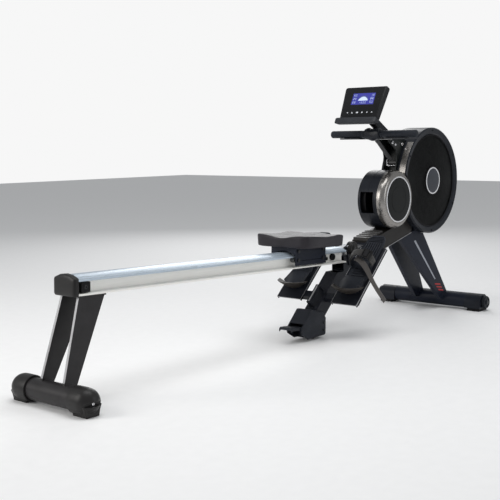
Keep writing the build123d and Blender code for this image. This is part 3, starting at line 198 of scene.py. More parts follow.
M = {
    "paint": shader("black_powder_coat", "frame_paint", (0.0115, 0.0130, 0.0180), 0.40, grain=0.35,
                    grain_size=0.0009, mottle=0.15, level=0.17),
    "stand": shader("graphite_powder_coat", "frame_paint", (0.0240, 0.0225, 0.0235), 0.38, grain=0.35,
                    grain_size=0.0009, mottle=0.15, level=0.23),
    "navy": shader("blue_black_coat", "frame_paint", (0.0120, 0.0150, 0.0250), 0.38, grain=0.3,
                   mottle=0.12,
                   level=0.17),
    "post": shader("green_black_coat", "frame_paint", (0.0100, 0.0125, 0.0125), 0.36, grain=0.3,
                   mottle=0.15,
                   level=0.20),
    "cover": shader("beam_cover_plastic", "cover_plastic", (0.0170, 0.0150, 0.0140), 0.34, grain=0.25,
                    grain_size=0.0007, mottle=0.15, level=0.20),
    "housing": shader("housing_plastic", "housing_plastic", (0.0115, 0.0135, 0.0185), 0.30, grain=0.2,
                      grain_size=0.0006, mottle=0.15, level=0.23),
    "mesh": shader("mesh_cover_paint", "mesh_plastic", (0.0105, 0.0100, 0.0115), 0.50, grain=0.2,
                   mottle=0.2,
                   level=0.15),
    "silver": shader("silver_paint", "drum_cap_silver", (0.30, 0.285, 0.270), 0.27, metal=0.95,
                     grain=0.10,
                     grain_size=0.0004, mottle=0.05, spread=0.08),
    "disc": shader("dark_disc", "disc_plastic", (0.0075, 0.0085, 0.0085), 0.40, grain=0.15, mottle=0.2,
                   level=0.17),
    "hub": shader("slate_disc", "disc_plastic", (0.028, 0.032, 0.042), 0.42, grain=0.15, mottle=0.12),
    "ring": shader("bright_ring", "trim_silver", (0.80, 0.80, 0.82), 0.28, metal=0.2, grain=0.04,
                   mottle=0.03),
    # painted reflections on one aluminium rail: the web near white for the floor it faces, the crown
    # blue-grey for the sky above it
    "web": shader("web_painted_floor_reflection", "rail_aluminium", (0.93, 0.915, 0.87), 0.32, metal=0.10, grain=0.12,
                  grain_size=0.0006, stretch=(0.02, 1, 1), mottle=0.03, mottle_size=0.004),
    "crown": shader("crown_painted_sky_reflection", "rail_aluminium", (0.50, 0.58, 0.66), 0.28, metal=0.45,
                    grain=0.16,
                    grain_size=0.0006, stretch=(0.02, 1, 1), mottle=0.04, mottle_size=0.004),
    "steel": shader("zinc_steel", "steel", (0.40, 0.41, 0.43), 0.32, metal=0.9, grain=0.12, mottle=0.10,
                    mottle_size=0.01),
    "oxide": shader("black_oxide_screw", "steel", (0.018, 0.019, 0.021), 0.35, metal=0.3, grain=0.15,
                    mottle=0.15),
    "chrome": shader("chrome_plate", "bright_steel", (0.82, 0.82, 0.84), 0.12, metal=1.0, grain=0.02,
                     mottle=0.02, spread=0.04),
    "cap": shader("end_cap_plastic", "cap_plastic", (0.0190, 0.0180, 0.0180), 0.36, grain=0.35,
                  grain_size=0.0008, mottle=0.12, level=0.23),
    "toe": shader("front_cap_plastic", "cap_plastic", (0.0120, 0.0140, 0.0200), 0.36, grain=0.35,
                  grain_size=0.0008, mottle=0.12, level=0.20),
    "rubber": shader("black_rubber", "black_rubber", (0.0085, 0.0085, 0.0095), 0.60, grain=0.4,
                     mottle=0.2, level=0.15),
    "tread": shader("wheel_rubber", "tread", (0.0095, 0.0110, 0.0150), 0.45, grain=0.3, mottle=0.15,
                    level=0.20),
    "foam": shader("moulded_foam", "seat_foam", (0.0215, 0.0190, 0.0235), 0.38, grain=0.5,
                   grain_size=0.0011,
                   cells=True, mottle=0.16, spread=0.14, sheen=0.04, level=0.25),
    "grip": shader("grip_foam", "grip_foam", (0.0120, 0.0150, 0.0215), 0.56, grain=0.6, grain_size=0.0007,
                   mottle=0.2, sheen=0.05, level=0.20),
    "nylon": shader("nylon", "nylon", (0.10, 0.10, 0.10), 0.45, grain=0.1),
    "spool": shader("spool_plastic", "spool_plastic", (0.0080, 0.0080, 0.0090), 0.5, grain=0.2,
                    level=0.15),
    "shoe": shader("footrest_plastic", "footrest_plastic", (0.0160, 0.0185, 0.0250), 0.40, grain=0.4,
                   grain_size=0.0009, mottle=0.18, level=0.20),
    "heel": shader("heel_rubber", "footrest_plastic", (0.0300, 0.0260, 0.0230), 0.50, grain=0.5,
                   grain_size=0.0009, mottle=0.22, level=0.20),
    "console": shader("console_plastic", "console_plastic", (0.0150, 0.0155, 0.0180), 0.42, grain=0.3,
                      grain_size=0.0006, mottle=0.12, level=0.20),
    "face": shader("console_face", "console_plastic", (0.0085, 0.0088, 0.0100), 0.26, grain=0.06,
                   mottle=0.08,
                   level=0.20),
    "ledge": shader("ledge_plastic", "console_plastic", (0.0260, 0.0280, 0.0330), 0.42, grain=0.3,
                    mottle=0.12,
                    level=0.23),
    "key": shader("key_plastic", "key_plastic", (0.0130, 0.0135, 0.0150), 0.35, grain=0.1, level=0.20),
    "icon": shader("white_print", "key_plastic", (0.66, 0.68, 0.72), 0.5, grain=0.05, mottle=0.03),
    "stripe": shader("grey_print", "frame_paint", (0.34, 0.36, 0.40), 0.5, grain=0.05, mottle=0.06),
    "red": shader("red_print", "frame_paint", (0.42, 0.020, 0.022), 0.5, grain=0.05, mottle=0.06),
    "iron": shader("cast_flywheel", "cast_wheel", (0.03, 0.03, 0.032), 0.5, metal=0.4, grain=0.4),
    "tread_light": shader("step_rib", "cover_plastic", (0.19, 0.19, 0.19), 0.45, grain=0.4, mottle=0.2),
    # painted highlight: a light grey strip material laid along edges where the light catches them
    "edge": shader("painted_edge_highlight", "frame_paint", (0.36, 0.36, 0.37), 0.35, metal=0.5, grain=0.1,
                   mottle=0.08),
    "foot_web": webbing("dark_webbing", "webbing", (0.020, 0.018, 0.0165), 0.0016),
    "strap": webbing("foot_webbing", "webbing", (0.046, 0.040, 0.036), 0.0016),
    "pull": webbing("pull_webbing", "webbing", (0.011, 0.012, 0.014), 0.0013),
    "screen": glowing("screen_glow", "console_plastic", (0.01, 0.012, 0.10), (0.055, 0.06, 0.42), 0.62),
    "segment": glowing("segment_glow", "console_plastic", (0.4, 0.45, 0.6), (0.55, 0.70, 0.95), 0.55),
    "sky": glowing("segment_dim", "console_plastic", (0.05, 0.06, 0.12), (0.10, 0.14, 0.22), 0.5),
}

# ------------------------------------------------------------------ mesh helpers


def skin(rows, wrap=True, caps=True, loop=False):
    """Vertices and faces of a sheet through rows of points; wrap joins each row's ends, loop the last row."""
    n = len(rows[0])
    verts = [p for row in rows for p in row]
    faces = []
    count = len(rows) if loop else len(rows) - 1
    for i in range(count):
        j = (i + 1) % len(rows)
        for k in range(n if wrap else n - 1):
            m = (k + 1) % n
            faces.append((i * n + k, i * n + m, j * n + m, j * n + k))
    if caps and not loop:
        faces.append(tuple(range(n))[::-1])
        faces.append(tuple((len(rows) - 1) * n + k for k in range(n)))
    return verts, faces


def turned(centre, profile, closed=False, seg=120):
    """Profile of (radius, y) points turned about the line along Y through centre (x, z)."""
    rows = []
    for r, y in profile:
        rows.append([Vector((centre[0] + r * math.cos(2 * math.pi * k / seg), y,
                             centre[1] + r * math.sin(2 * math.pi * k / seg))) for k in range(seg)])
    return skin(rows, caps=not closed, loop=closed)


def arc_plate(centre, r0, r1, y0, y1, a0, a1, seg=48):
    """Part of a ring's wall; angles in degrees from the -X side, upwards."""
    rows = []
    for k in range(seg + 1):
        a = math.radians(a0 + (a1 - a0) * k / seg)
        c, s = -math.cos(a), math.sin(a)
        rows.append([Vector((centre[0] + r * c, y, centre[1] + r * s))
                     for r, y in ((r0, y0), (r1, y0), (r1, y1), (r0, y1))])
    return skin(rows)


def slab(place, x0, x1, y0, y1, z0, z1):
    rows = [[place(x, y, z) for y, z in ((y0, z0), (y1, z0), (y1, z1), (y0, z1))] for x in (x0, x1)]
    return skin(rows)


def prism(outline, y0, y1, place=plain):
    """Outline of (x, z) points between two planes of Y."""
    rows = [[place(x, y, z) for x, z in outline] for y in (y0, y1)]
    return skin(rows)


def merged(*parts):
    verts, faces = [], []
    for v, f in parts:
        shift = len(verts)
        verts += list(v)
        faces += [tuple(i + shift for i in face) for face in f]
    return verts, faces


def flipped(part):
    """The same shape on the other side of the machine."""
    verts, faces = part
    return [Vector((v.x, -v.y, v.z)) for v in verts], [tuple(reversed(f)) for f in faces]


def both(part):
    return merged(part, flipped(part))


def sided(part, side):
    """A shape made for the left side, or its mirror image on the right."""
    return part if side > 0 else flipped(part)


def smooth_path(points, per):
    """Catmull-Rom line through the points."""
    pts = [Vector(p) for p in points]
    out = []
    for i in range(len(pts) - 1):
        a, b, c, d = pts[max(i - 1, 0)], pts[i], pts[i + 1], pts[min(i + 2, len(pts) - 1)]
        for k in range(per):
            t = k / per
            out.append(0.5 * (2 * b + (c - a) * t + (2 * a - 5 * b + 4 * c - d) * t * t
                              + (3 * b - a - 3 * c + d) * t ** 3))
    out.append(pts[-1])
    return out


def tube(points, radius, seg):
    """Round bar along a line."""
    rows = []
    side = None
    for i, p in enumerate(points):
        along = (points[min(i + 1, len(points) - 1)] - points[max(i - 1, 0)]).normalized()
        if side is None:
            side = along.cross(Vector((0.3, 0.2, 0.9))).normalized()
        side = (side - along * side.dot(along)).normalized()
        other = along.cross(side)
        angles = [2 * math.pi * k / seg for k in range(seg)]
        rows.append([p + radius * (side * math.cos(a) + other * math.sin(a)) for a in angles])
    return skin(rows)


def rounded(points, radius, steps=6):
    """Plane outline with its corners rounded."""
    out = []
    n = len(points)
    for i, p in enumerate(points):
        p = Vector(p)
        a = (Vector(points[i - 1]) - p).normalized()
        b = (Vector(points[(i + 1) % n]) - p).normalized()
        half = a.angle(b) / 2
        reach = min(radius / math.tan(half), 0.45 * min((Vector(points[i - 1]) - p).length,
                                                         (Vector(points[(i + 1) % n]) - p).length))
        start, end = p + a * reach, p + b * reach
        for k in range(steps + 1):
            t = k / steps
            out.append(start * (1 - t) ** 2 + p * 2 * t * (1 - t) + end * t * t)
    return out


def make(name, part, mat, body, stands_for=(), bevel=0.0, rounds=2, sharp=32, subdivide=0, merge=True):
    """Turns vertices and faces into a piece that rides on a body."""
    verts, faces = part
    mesh = bpy.data.meshes.new(name)
    mesh.from_pydata([tuple(v) for v in verts], [], faces)
    bm = bmesh.new()
    bm.from_mesh(mesh)
    if merge:
        bmesh.ops.remove_doubles(bm, verts=bm.verts, dist=1e-6)
    bmesh.ops.recalc_face_normals(bm, faces=bm.faces)
    bm.to_mesh(mesh)
    bm.free()
    mesh.validate()
    mesh.polygons.foreach_set("use_smooth", [True] * len(mesh.polygons))
    obj = bpy.data.objects.new(name, mesh)
    SCENE.collection.objects.link(obj)
    mesh.materials.append(M[mat])
    if subdivide:
        mod = obj.modifiers.new("subdivide", "SUBSURF")
        mod.levels = mod.render_levels = subdivide
    if bevel:
        add_bevel(obj, bevel, rounds)
    mesh.set_sharp_from_angle(angle=math.radians(sharp))
    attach(obj, body)
    if stands_for:
        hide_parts(*stands_for)
    return obj


def add_bevel(obj, width, rounds=2):
    mod = obj.modifiers.new("bevel", "BEVEL")
    mod.width = width
    mod.segments = rounds
    mod.limit_method = "ANGLE"
    mod.angle_limit = math.radians(34)
    mod.harden_normals = False
    normals = obj.modifiers.new("normals", "WEIGHTED_NORMAL")
    normals.keep_sharp = False


def dress(node, mat, bevel=0.0):
    """Gives a CAD node its material, and softened edges by modifiers only."""
    obj = NODES[node]
    if not obj.material_slots:
        obj.data.materials.append(M[mat])
    for place in obj.material_slots:
        place.material = M[mat]
    if bevel:
        weld = obj.modifiers.new("weld", "WELD")
        weld.merge_threshold = 0.00002
        add_bevel(obj, bevel, 2)


def cut(obj, part):
    """Takes a shape out of a piece for good."""
    tool_mesh = bpy.data.meshes.new("tool")
    tool_mesh.from_pydata([tuple(v) for v in part[0]], [], part[1])
    bm = bmesh.new()
    bm.from_mesh(tool_mesh)
    bmesh.ops.recalc_face_normals(bm, faces=bm.faces)
    bm.to_mesh(tool_mesh)
    bm.free()
    tool = bpy.data.objects.new("tool", tool_mesh)
    SCENE.collection.objects.link(tool)
    mod = obj.modifiers.new("cut", "BOOLEAN")
    mod.operation = "DIFFERENCE"
    mod.solver = "EXACT"
    mod.object = tool
    obj.modifiers.move(len(obj.modifiers) - 1, 0)
    bpy.context.view_layer.update()
    graph = bpy.context.evaluated_depsgraph_get()
    others = [m for m in obj.modifiers if m.type != "BOOLEAN"]
    shown = [m.show_viewport for m in others]
    for m in others:
        m.show_viewport = False
    bpy.context.view_layer.update()
    baked = bpy.data.meshes.new_from_object(obj.evaluated_get(graph), depsgraph=graph)
    for m, on in zip(others, shown):
        m.show_viewport = on
    obj.modifiers.remove(mod)
    bpy.data.objects.remove(tool)
    baked.name = obj.name
    obj.data = baked
    baked.set_sharp_from_angle(angle=math.radians(32))


# ------------------------------------------------------------------ CAD nodes that stay

for node, mat, bevel in (
        ("main_beam", "paint", 0.0012), ("front_stand", "navy", 0.0015), ("mid_leg", "paint", 0.0012),
        ("upright_frame", "post", 0.0008), ("handle_rest", "ledge", 0.0008),
        ("flywheel_axle", "steel", 0.0004),
        ("foot_frame", "paint", 0.0006), ("console_arm", "paint", 0.0012), ("drive_belt", "rubber", 0),
        ("tension_motor", "cap", 0), ("fan_shell_near", "housing", 0), ("fan_shell_far", "housing", 0),
        ("drum_shell", "housing", 0.0006), ("rail_front_block", "steel", 0.0006),
        ("rear_stand", "stand", 0.0012), ("seat_carriage", "navy", 0.0006),
        ("seat_axles", "oxide", 0.0005),
        ("upper_rollers_front", "nylon", 0.0008), ("upper_rollers_rear", "nylon", 0.0008),
        ("lower_rollers_front", "nylon", 0.0008), ("lower_rollers_rear", "nylon", 0.0008),
        ("handle_bar", "steel", 0), ("strap_spool", "spool", 0.0005), ("guide_roller", "nylon", 0.0006),
        ("fan_flywheel", "iron", 0), ("drive_pulley", "spool", 0), ("magnet_bracket", "steel", 0.0005),
        ("frame_bolts", "oxide", 0.0006), ("beam_cover", "cover", 0.0020),
        ("mid_foot_pad", "rubber", 0.0015),
        ("rail_stops", "rubber", 0.0010)):
    dress(node, mat, bevel)


# ------------------------------------------------------------------ seat


def ramp(x, a, b):
    t = max(0.0, min(1.0, (x - a) / (b - a)))
    return t * t * (3 - 2 * t)


SEAT_MID, SEAT_LENGTH, SEAT_HALF, SEAT_LOW = 0.2565, 0.263, 0.1335, 0.0830


def seat_top(u, v):
    """Height of the seat's upper face; u from -1 behind to 1 in front, v across."""
    w = abs(v)
    rear = ramp(-u, -0.1, 1.0)
    h = 0.0435
    h += 0.0050 * rear * ramp(w, 0.2, 0.72)
    h -= 0.0100 * rear * math.exp(-(v / 0.24) ** 2)
    h -= 0.0070 * math.exp(-((u + 0.15) / 0.42) ** 2) * math.exp(-((w - 0.48) / 0.26) ** 2)
    h -= 0.0030 * math.exp(-((u - 0.17) / 0.28) ** 2) * ramp(w, 0.55, 0.95)
    h += 0.0035 * math.exp(-((u - 0.62) / 0.20) ** 2) * ramp(w, 0.5, 0.9)
    h += 0.0065 * math.exp(-(v / 0.28) ** 2) * ramp(u, 0.1, 0.8)
    h -= 0.0035 * ramp(u, 0.55, 1.0) * math.exp(-((w - 0.45) / 0.2) ** 2)
    return h


def seat_outline(k, seg):
    """Rounded plan with a shallow hollow in the middle of the rear edge."""
    a = 2 * math.pi * k / seg
    c, s = math.cos(a), math.sin(a)
    power = 2 / 6.5 if c < 0 else 2 / 8.5
    u = math.copysign(abs(c) ** power, c)
    v = math.copysign(abs(s) ** power, s)
    u += 0.035 * math.exp(-(v / 0.30) ** 2) * (1 if c < 0 else -0.6)
    v *= 1 - 0.014 * math.exp(-((u - 0.15) / 0.30) ** 2)
    return u, v


def build_seat():
    seg = 192
    rows = []

    def ring(scale, height):
        row = []
        for k in range(seg):
            u, v = seat_outline(k, seg)
            top = seat_top(u * scale, v * scale)
            h = height(top)
            row.append(on_rail(SEAT_MID - u * scale * SEAT_LENGTH / 2, v * scale * SEAT_HALF,
                               SEAT_LOW + h))
        rows.append(row)

    for scale in (0.05, 0.5, 0.94):
        ring(scale, lambda top: 0.0004)
    ring(0.972, lambda top: 0.0012)
    ring(0.984, lambda top: 0.0045)
    for share in (0.25, 0.5, 0.75):
        ring(0.984 + 0.016 * share, lambda top, share=share: 0.0045 + (top - 0.0125) * share)
    ring(1.0, lambda top: top - 0.0080)
    ring(0.997, lambda top: top - 0.0045)
    ring(0.988, lambda top: top - 0.0018)
    ring(0.972, lambda top: top - 0.0004)
    for step in range(19, 0, -1):
        ring(0.95 * step / 19.5, lambda top: top)
    seat = make("seat_cushion", skin(rows), "foam", "seat", ["seat_pad"], sharp=75, subdivide=1)
    # thin base plate under the foam
    rim = []
    for scale, h in ((0.90, 0.0), (0.93, 0.0), (0.93, 0.0010), (0.90, 0.0010)):
        rim.append([on_rail(SEAT_MID - u * scale * SEAT_LENGTH / 2, v * scale * SEAT_HALF, SEAT_LOW + h)
                    for u, v in (seat_outline(k, 96) for k in range(96))])
    make("seat_base_rim", skin(rim, caps=False, loop=True), "paint", "seat")


build_seat()

# ------------------------------------------------------------------ rail ends


SCREW_SEG = 24


def bolt_head(centre, radius, height, side):
    """Cap screw seen from its end: a rounded head with a round socket; side is the Y direction."""
    x, y, z = centre
    face, floor = y + side * height, y + side * height * 0.35
    profile = [(radius, y), (radius, y + side * height * 0.75), (radius * 0.86, face),
               (radius * 0.5, face),
               (radius * 0.48, floor), (0.0, floor)]
    return turned((x, z), profile, seg=SCREW_SEG)


def stop_bolts():
    parts = []
    for d in (1.373 + 0.0175, 0.1382 + 0.0175):
        p = on_rail(d, 0, 0.0255)
        parts.append(bolt_head((p.x, -0.0412, p.z), 0.0066, 0.0036, -1))
    return both(merged(*parts))


make("stop_bolts", stop_bolts(), "oxide", "rail")


RAIL_LONG, RAIL_HALF = 1.424, 0.0476


def rail_part(outline):
    """Length of extrusion with the given (y, height) outline."""
    return skin([[on_rail(d, y, h) for y, h in outline] for d in (0.0, RAIL_LONG)])


def crown_outline():
    """Arched head of the rail with rounded edges, a shallow groove near each edge and lips below."""
    top = []
    for k in range(33):
        y = RAIL_HALF * (1 - 2 * k / 32) * 0.985
        top.append((y, 0.064 - 0.014 * (y / RAIL_HALF) ** 2))
    right = [(-RAIL_HALF, 0.0488), (-RAIL_HALF, 0.0448), (-RAIL_HALF + 0.0010, 0.0439), (-0.0446, 0.0439),
             (-0.0416, 0.0449), (-0.0238, 0.0459)]
    return top + right + [(-y, h) for y, h in reversed(right)]


def web_outline():
    """Hollow web and floor flange, with thickened flange edges."""
    right = [(-0.0238, 0.0459), (-0.0238, 0.0090), (-0.0250, 0.0075), (-0.0270, 0.0070),
             (-0.0440, 0.0062),
             (-0.0466, 0.0062), (-RAIL_HALF, 0.0052), (-RAIL_HALF, 0.0008), (-0.0468, 0.0)]
    return right + [(-y, h) for y, h in reversed(right)]


make("rail_crown", rail_part(crown_outline()), "crown", "rail", ["rail"], sharp=20)
make("rail_web", rail_part(web_outline()), "web", "rail", sharp=25)


def end_cap():
    """Moulded arched cap: its outline draws in towards the outer face."""
    rows = []
    for d, inset in ((1.4241, 0.0), (1.4330, 0.0003), (1.4375, 0.0014), (1.4400, 0.0034),
                     (1.4414, 0.0066),
                     (1.4422, 0.0120)):
        half = 0.0506 - inset
        outline = rounded([(-half, -0.003 + inset), (half, -0.003 + inset), (half, 0.0545 - inset),
                           (half * 0.5, 0.0642 - inset), (0.0, 0.0672 - inset),
                           (-half * 0.5, 0.0642 - inset),
                           (-half, 0.0545 - inset)], 0.008, 5)
        rows.append([on_rail(d, q[0], q[1]) for q in outline])
    return skin(rows)


make("rail_cap", end_cap(), "cap", "rail", ["rail_end_cap"], sharp=60)


def lock_hole():
    """Dark bush of the fold lock's hole and the lock's head beside it, on both sides of the web."""
    hole, head = on_rail(0.105, 0, 0.0215), on_rail(0.073, 0, 0.0270)
    bush = turned((hole.x, hole.z), [(0.0, 0.0225), (0.0074, 0.0225), (0.0074, 0.0246), (0.0064, 0.0252),
                                     (0.0050, 0.0250), (0.0048, 0.0240), (0.0, 0.0240)], closed=True,
                  seg=40)
    knob = turned((head.x, head.z), [(0.0134, 0.0236), (0.0138, 0.0260), (0.0138, 0.0330),
                                     (0.0120, 0.0352),
                                     (0.0060, 0.0356), (0.0055, 0.0340), (0.0, 0.0340)], seg=40)
    return both(merged(bush, knob))


make("fold_lock", lock_hole(), "rubber", "rail", sharp=35)

# ------------------------------------------------------------------ rear stand caps

REAR_BAR = (-1.169, 0.043)
REAR_CAP_FACE = 0.1712      # flat sawn into the dome for its screw


def rear_cap():
    profile = [(0.0357, 0.100), (0.0405, 0.100), (0.0418, 0.1012), (0.0422, 0.104), (0.0422, 0.138),
               (0.042, 0.145)]
    for k in range(1, 13):
        a = math.pi / 2 * k / 12
        profile.append((0.042 * math.cos(a), 0.145 + 0.042 * math.sin(a)))
    return turned(REAR_BAR, profile, seg=96)


def rear_pad():
    x = REAR_BAR[0]
    outline = [(x - 0.0255, 0.0), (x + 0.0255, 0.0), (x + 0.0262, 0.008), (x + 0.030, 0.022),
               (x + 0.036, 0.036),
               (x - 0.036, 0.036), (x - 0.030, 0.022), (x - 0.0262, 0.008)]
    return prism(outline, 0.111, 0.174)


def rear_leg_edge_highlights():
    """Painted highlight strips along the rear edges of the rear legs."""
    rows = []
    for t in (0.0, 1.0):
        x = -1.1892 + (-1.1002 + 1.1892) * t
        y = 0.0550 + (0.0380 - 0.0550) * t
        z = 0.0430 + (0.3335 - 0.0430) * t
        rows.append([Vector((x - 0.0004, y - 0.0046, z)), Vector((x - 0.0004, y + 0.0046, z)),
                     Vector((x + 0.0030, y + 0.0046, z)), Vector((x + 0.0030, y - 0.0046, z))])
    rows[0] = [p.lerp(q, 0.14) for p, q in zip(*rows)]
    return both(skin(rows))


# painted highlight along the rear edges of the rear legs
make("rear_leg_edge_highlights", rear_leg_edge_highlights(), "edge", "rail", bevel=0.0004)

for side, label in SIDES:
    y0, y1 = sorted((side * REAR_CAP_FACE, side * 0.195))
    dome = make(f"rear_cap_{label}", sided(rear_cap(), side), "cap", "rail", ["rear_end_caps"], sharp=50)
    cut(dome, slab(plain, REAR_BAR[0] - 0.060, REAR_BAR[0] + 0.060, y0, y1, 0.034, 0.047))
    make(f"rear_pad_{label}", sided(rear_pad(), side), "cap", "rail", bevel=0.003, rounds=3)
    make(f"rear_cap_screw_{label}", bolt_head((REAR_BAR[0], side * REAR_CAP_FACE, 0.0405), 0.0048, 0.0045,
                                              side),
         "chrome", "rail")

# ------------------------------------------------------------------ front floor bar

FRONT_BAR = (1.122, 0.043)
WHEEL_AXLE = (1.122, 0.042)


def front_cap():
    """Moulded cap: round on top, flared down to its floor pad."""
    x, z = FRONT_BAR[0], 0.0395
    outline = []
    for k in range(0, 25):
        a = math.pi * (k / 24)
        outline.append((x + 0.0395 * math.cos(a), z + 0.0395 * math.sin(a)))
    outline += [(x - 0.0392, 0.022), (x - 0.0400, 0.013), (x + 0.0400, 0.013), (x + 0.0392, 0.022)]
    return prism(outline, 0.190, 0.2695)


def front_pad():
    x = FRONT_BAR[0]
    outline = [(x - 0.0395, 0.0), (x + 0.0395, 0.0), (x + 0.0385, 0.012), (x + 0.034, 0.018),
               (x - 0.034, 0.018),
               (x - 0.0385, 0.012)]
    return prism(outline, 0.2045, 0.2675)


def wheel(side):
    y0 = 0.2706
    profile = [(0.0052, y0), (0.0255, y0), (0.0290, y0 + 0.0035), (0.0290, y0 + 0.0140),
               (0.0262, y0 + 0.0175),
               (0.0215, y0 + 0.0178), (0.0205, y0 + 0.0150), (0.0120, y0 + 0.0148), (0.0108, y0 + 0.0178),
               (0.0052, y0 + 0.0178)]
    return sided(turned(WHEEL_AXLE, profile, closed=True, seg=72), side)


for side, label in SIDES:
    cap = make(f"front_cap_{label}", sided(front_cap(), side), "toe", "frame", ["front_end_caps"],
               bevel=0.0028, rounds=3)
    y0, y1 = sorted((side * 0.188, side * 0.262))
    rod = turned(FRONT_BAR, [(0.0356, y0), (0.0356, y1)], seg=96)
    cut(cap, rod)
    make(f"front_pad_{label}", sided(front_pad(), side), "rubber", "frame", bevel=0.0022, rounds=3)
    make(f"wheel_{label}", wheel(side), "tread", f"transport_wheel_{label}", [f"transport_wheel_{label}"],
         sharp=28)
    hub = turned(WHEEL_AXLE, [(0.0104, side * 0.2860), (0.0116, side * 0.2872), (0.0116, side * 0.2888),
                                         (0.0100, side * 0.2890), (0.0054, side * 0.2890),
                                         (0.0054, side * 0.2860)],
                 closed=True, seg=48)
    make(f"wheel_hub_{label}", hub, "hub", f"transport_wheel_{label}")


def leg_stripes():
    """Plain stripes on the outer faces of the front stand's legs."""
    rear_low, rear_high = Vector((1.069, 0.043)), Vector((0.749, 0.356))
    front_low, front_high = Vector((1.149, 0.043)), Vector((0.929, 0.399))

    def at(side, share, across, lift):
        p = rear_low.lerp(rear_high, share).lerp(front_low.lerp(front_high, share), across)
        return Vector((p.x, side * (0.0770 - 0.0340 * share + lift), p.y))

    def bar(side, t0, t1, a0, a1, skew=0.0):
        rows = []
        for t in (t0, (t0 + t1) / 2, t1):
            rows.append([at(side, t, a0, 0.0001), at(side, t + skew, a1, 0.0001),
                         at(side, t + skew, a1, 0.0006),
                         at(side, t, a0, 0.0006)])
        return skin(rows)

    grey = merged(*[bar(side, 0.88, 0.30, 0.46, 0.54) for side in (-1, 1)])
    red = merged(*[bar(side, t, t - 0.022, 0.30, 0.70, -0.03) for side in (-1, 1)
                   for t in (0.25, 0.205, 0.16)])
    return grey, red


# ------------------------------------------------------------------ flywheel housing

FAN_NEAR, FAN_FAR, FAN_SEAM = -0.080, 0.050, -0.048


def cover_bulge(r):
    """How far the mesh cover stands behind the face ring, by radius."""
    t = ramp(r, 0.060, 0.211)
    return -0.0022 + 0.0112 * t * t


def mesh_cover(face, step):
    """Domed perforated sheet with plain bands at its rim and hub."""
    rings, seg = 36, 216
    r0, r1 = 0.0575, 0.2106
    bm = bmesh.new()
    grid = []
    for i in range(rings + 1):
        r = r0 + (r1 - r0) * i / rings
        y = face + step * cover_bulge(r)
        angles = [2 * math.pi * (k + 0.5 * (i % 2)) / seg for k in range(seg)]
        grid.append([bm.verts.new((FAN[0] + r * math.cos(a), y, FAN[1] + r * math.sin(a)))
                     for a in angles])
    open_faces = []
    for i in range(rings):
        for k in range(seg):
            m = (k + 1) % seg
            f = bm.faces.new((grid[i][k], grid[i][m], grid[i + 1][m], grid[i + 1][k]))
            if 2 <= i < rings - 1:
                open_faces.append(f)
    bmesh.ops.inset_individual(bm, faces=open_faces, thickness=0.00095)
    bmesh.ops.delete(bm, geom=open_faces, context="FACES")
    verts = [v.co.copy() for v in bm.verts]
    bm.verts.index_update()
    faces = [tuple(v.index for v in f.verts) for f in bm.faces]
    bm.free()
    return verts, faces


def hub_face(face, step):
    """Shallow domed disc inside its bright ring."""
    profile = [(0.0560, face), (0.0560, face - step * 0.0026), (0.0530, face - step * 0.0032),
               (0.0300, face - step * 0.0038), (0.0, face - step * 0.0040)]
    return turned(FAN, profile, seg=96)


def hub_ring(face, step):
    profile = [(0.0560, face + step * 0.001), (0.0612, face + step * 0.001),
               (0.0612, face - step * 0.0030),
               (0.0600, face - step * 0.0044), (0.0575, face - step * 0.0048),
               (0.0560, face - step * 0.0036)]
    return turned(FAN, profile, closed=True, seg=120)


for label, face, step in (("near", FAN_NEAR, 1), ("far", FAN_FAR, -1)):
    cover = make(f"mesh_cover_{label}", mesh_cover(face, step), "mesh", "frame", ["fan_covers"], sharp=60,
                 merge=False)
    thick = cover.modifiers.new("thickness", "SOLIDIFY")
    thick.thickness = 0.0011
    thick.offset = 0.0
    # painted shade: a dark sheet behind the mesh stands in for the shaded inside of the housing
    make(f"painted_shade_screen_{label}", turned(FAN, [(0.0580, face + step * 0.0020),
                                              (0.150, face + step * 0.0068),
                                              (0.2100, face + step * 0.0130),
                                              (0.2100, face + step * 0.0136),
                                              (0.150, face + step * 0.0074),
                                              (0.0580, face + step * 0.0026)],
                                        closed=True, seg=96), "disc", "frame")
    make(f"hub_disc_{label}", hub_face(face, step), "hub", "frame", ["side_discs"], sharp=25)
    make(f"hub_ring_{label}", hub_ring(face, step), "ring", "frame", ["trim_rings"], sharp=30)


def face_screws():
    parts = []
    for k in range(6):
        a = math.radians(-90 + 60 * k)
        for face, side in ((FAN_NEAR + 0.0010, -1), (FAN_FAR - 0.0010, 1)):
            parts.append(bolt_head((FAN[0] + 0.2285 * math.cos(a), face, FAN[1] + 0.2285 * math.sin(a)),
                                   0.0042, 0.0012, side))
    return merged(*parts)


make("housing_screws", face_screws(), "rubber", "frame")
make("housing_band", arc_plate(FAN, 0.2418, 0.2432, FAN_NEAR + 0.0030, FAN_SEAM, -30, 47, 72), "silver",
     "frame",
     bevel=0.0004)

# ------------------------------------------------------------------ drum housing


def drum_cap():
    """Rounded silver cap between the drum's rim and its ring."""
    profile = [(0.1272, -0.0498), (0.1272, -0.0560)]
    for k in range(1, 15):
        a = math.pi / 2 * k / 14
        profile.append((0.1010 + 0.0262 * math.cos(a) ** 0.82, -0.0560 - 0.0292 * math.sin(a) ** 0.9))
    profile += [(0.1000, -0.0852), (0.1000, -0.0810), (0.1180, -0.0740), (0.1235, -0.0560),
                (0.1235, -0.0498)]
    return turned(DRUM, profile, closed=True, seg=160)


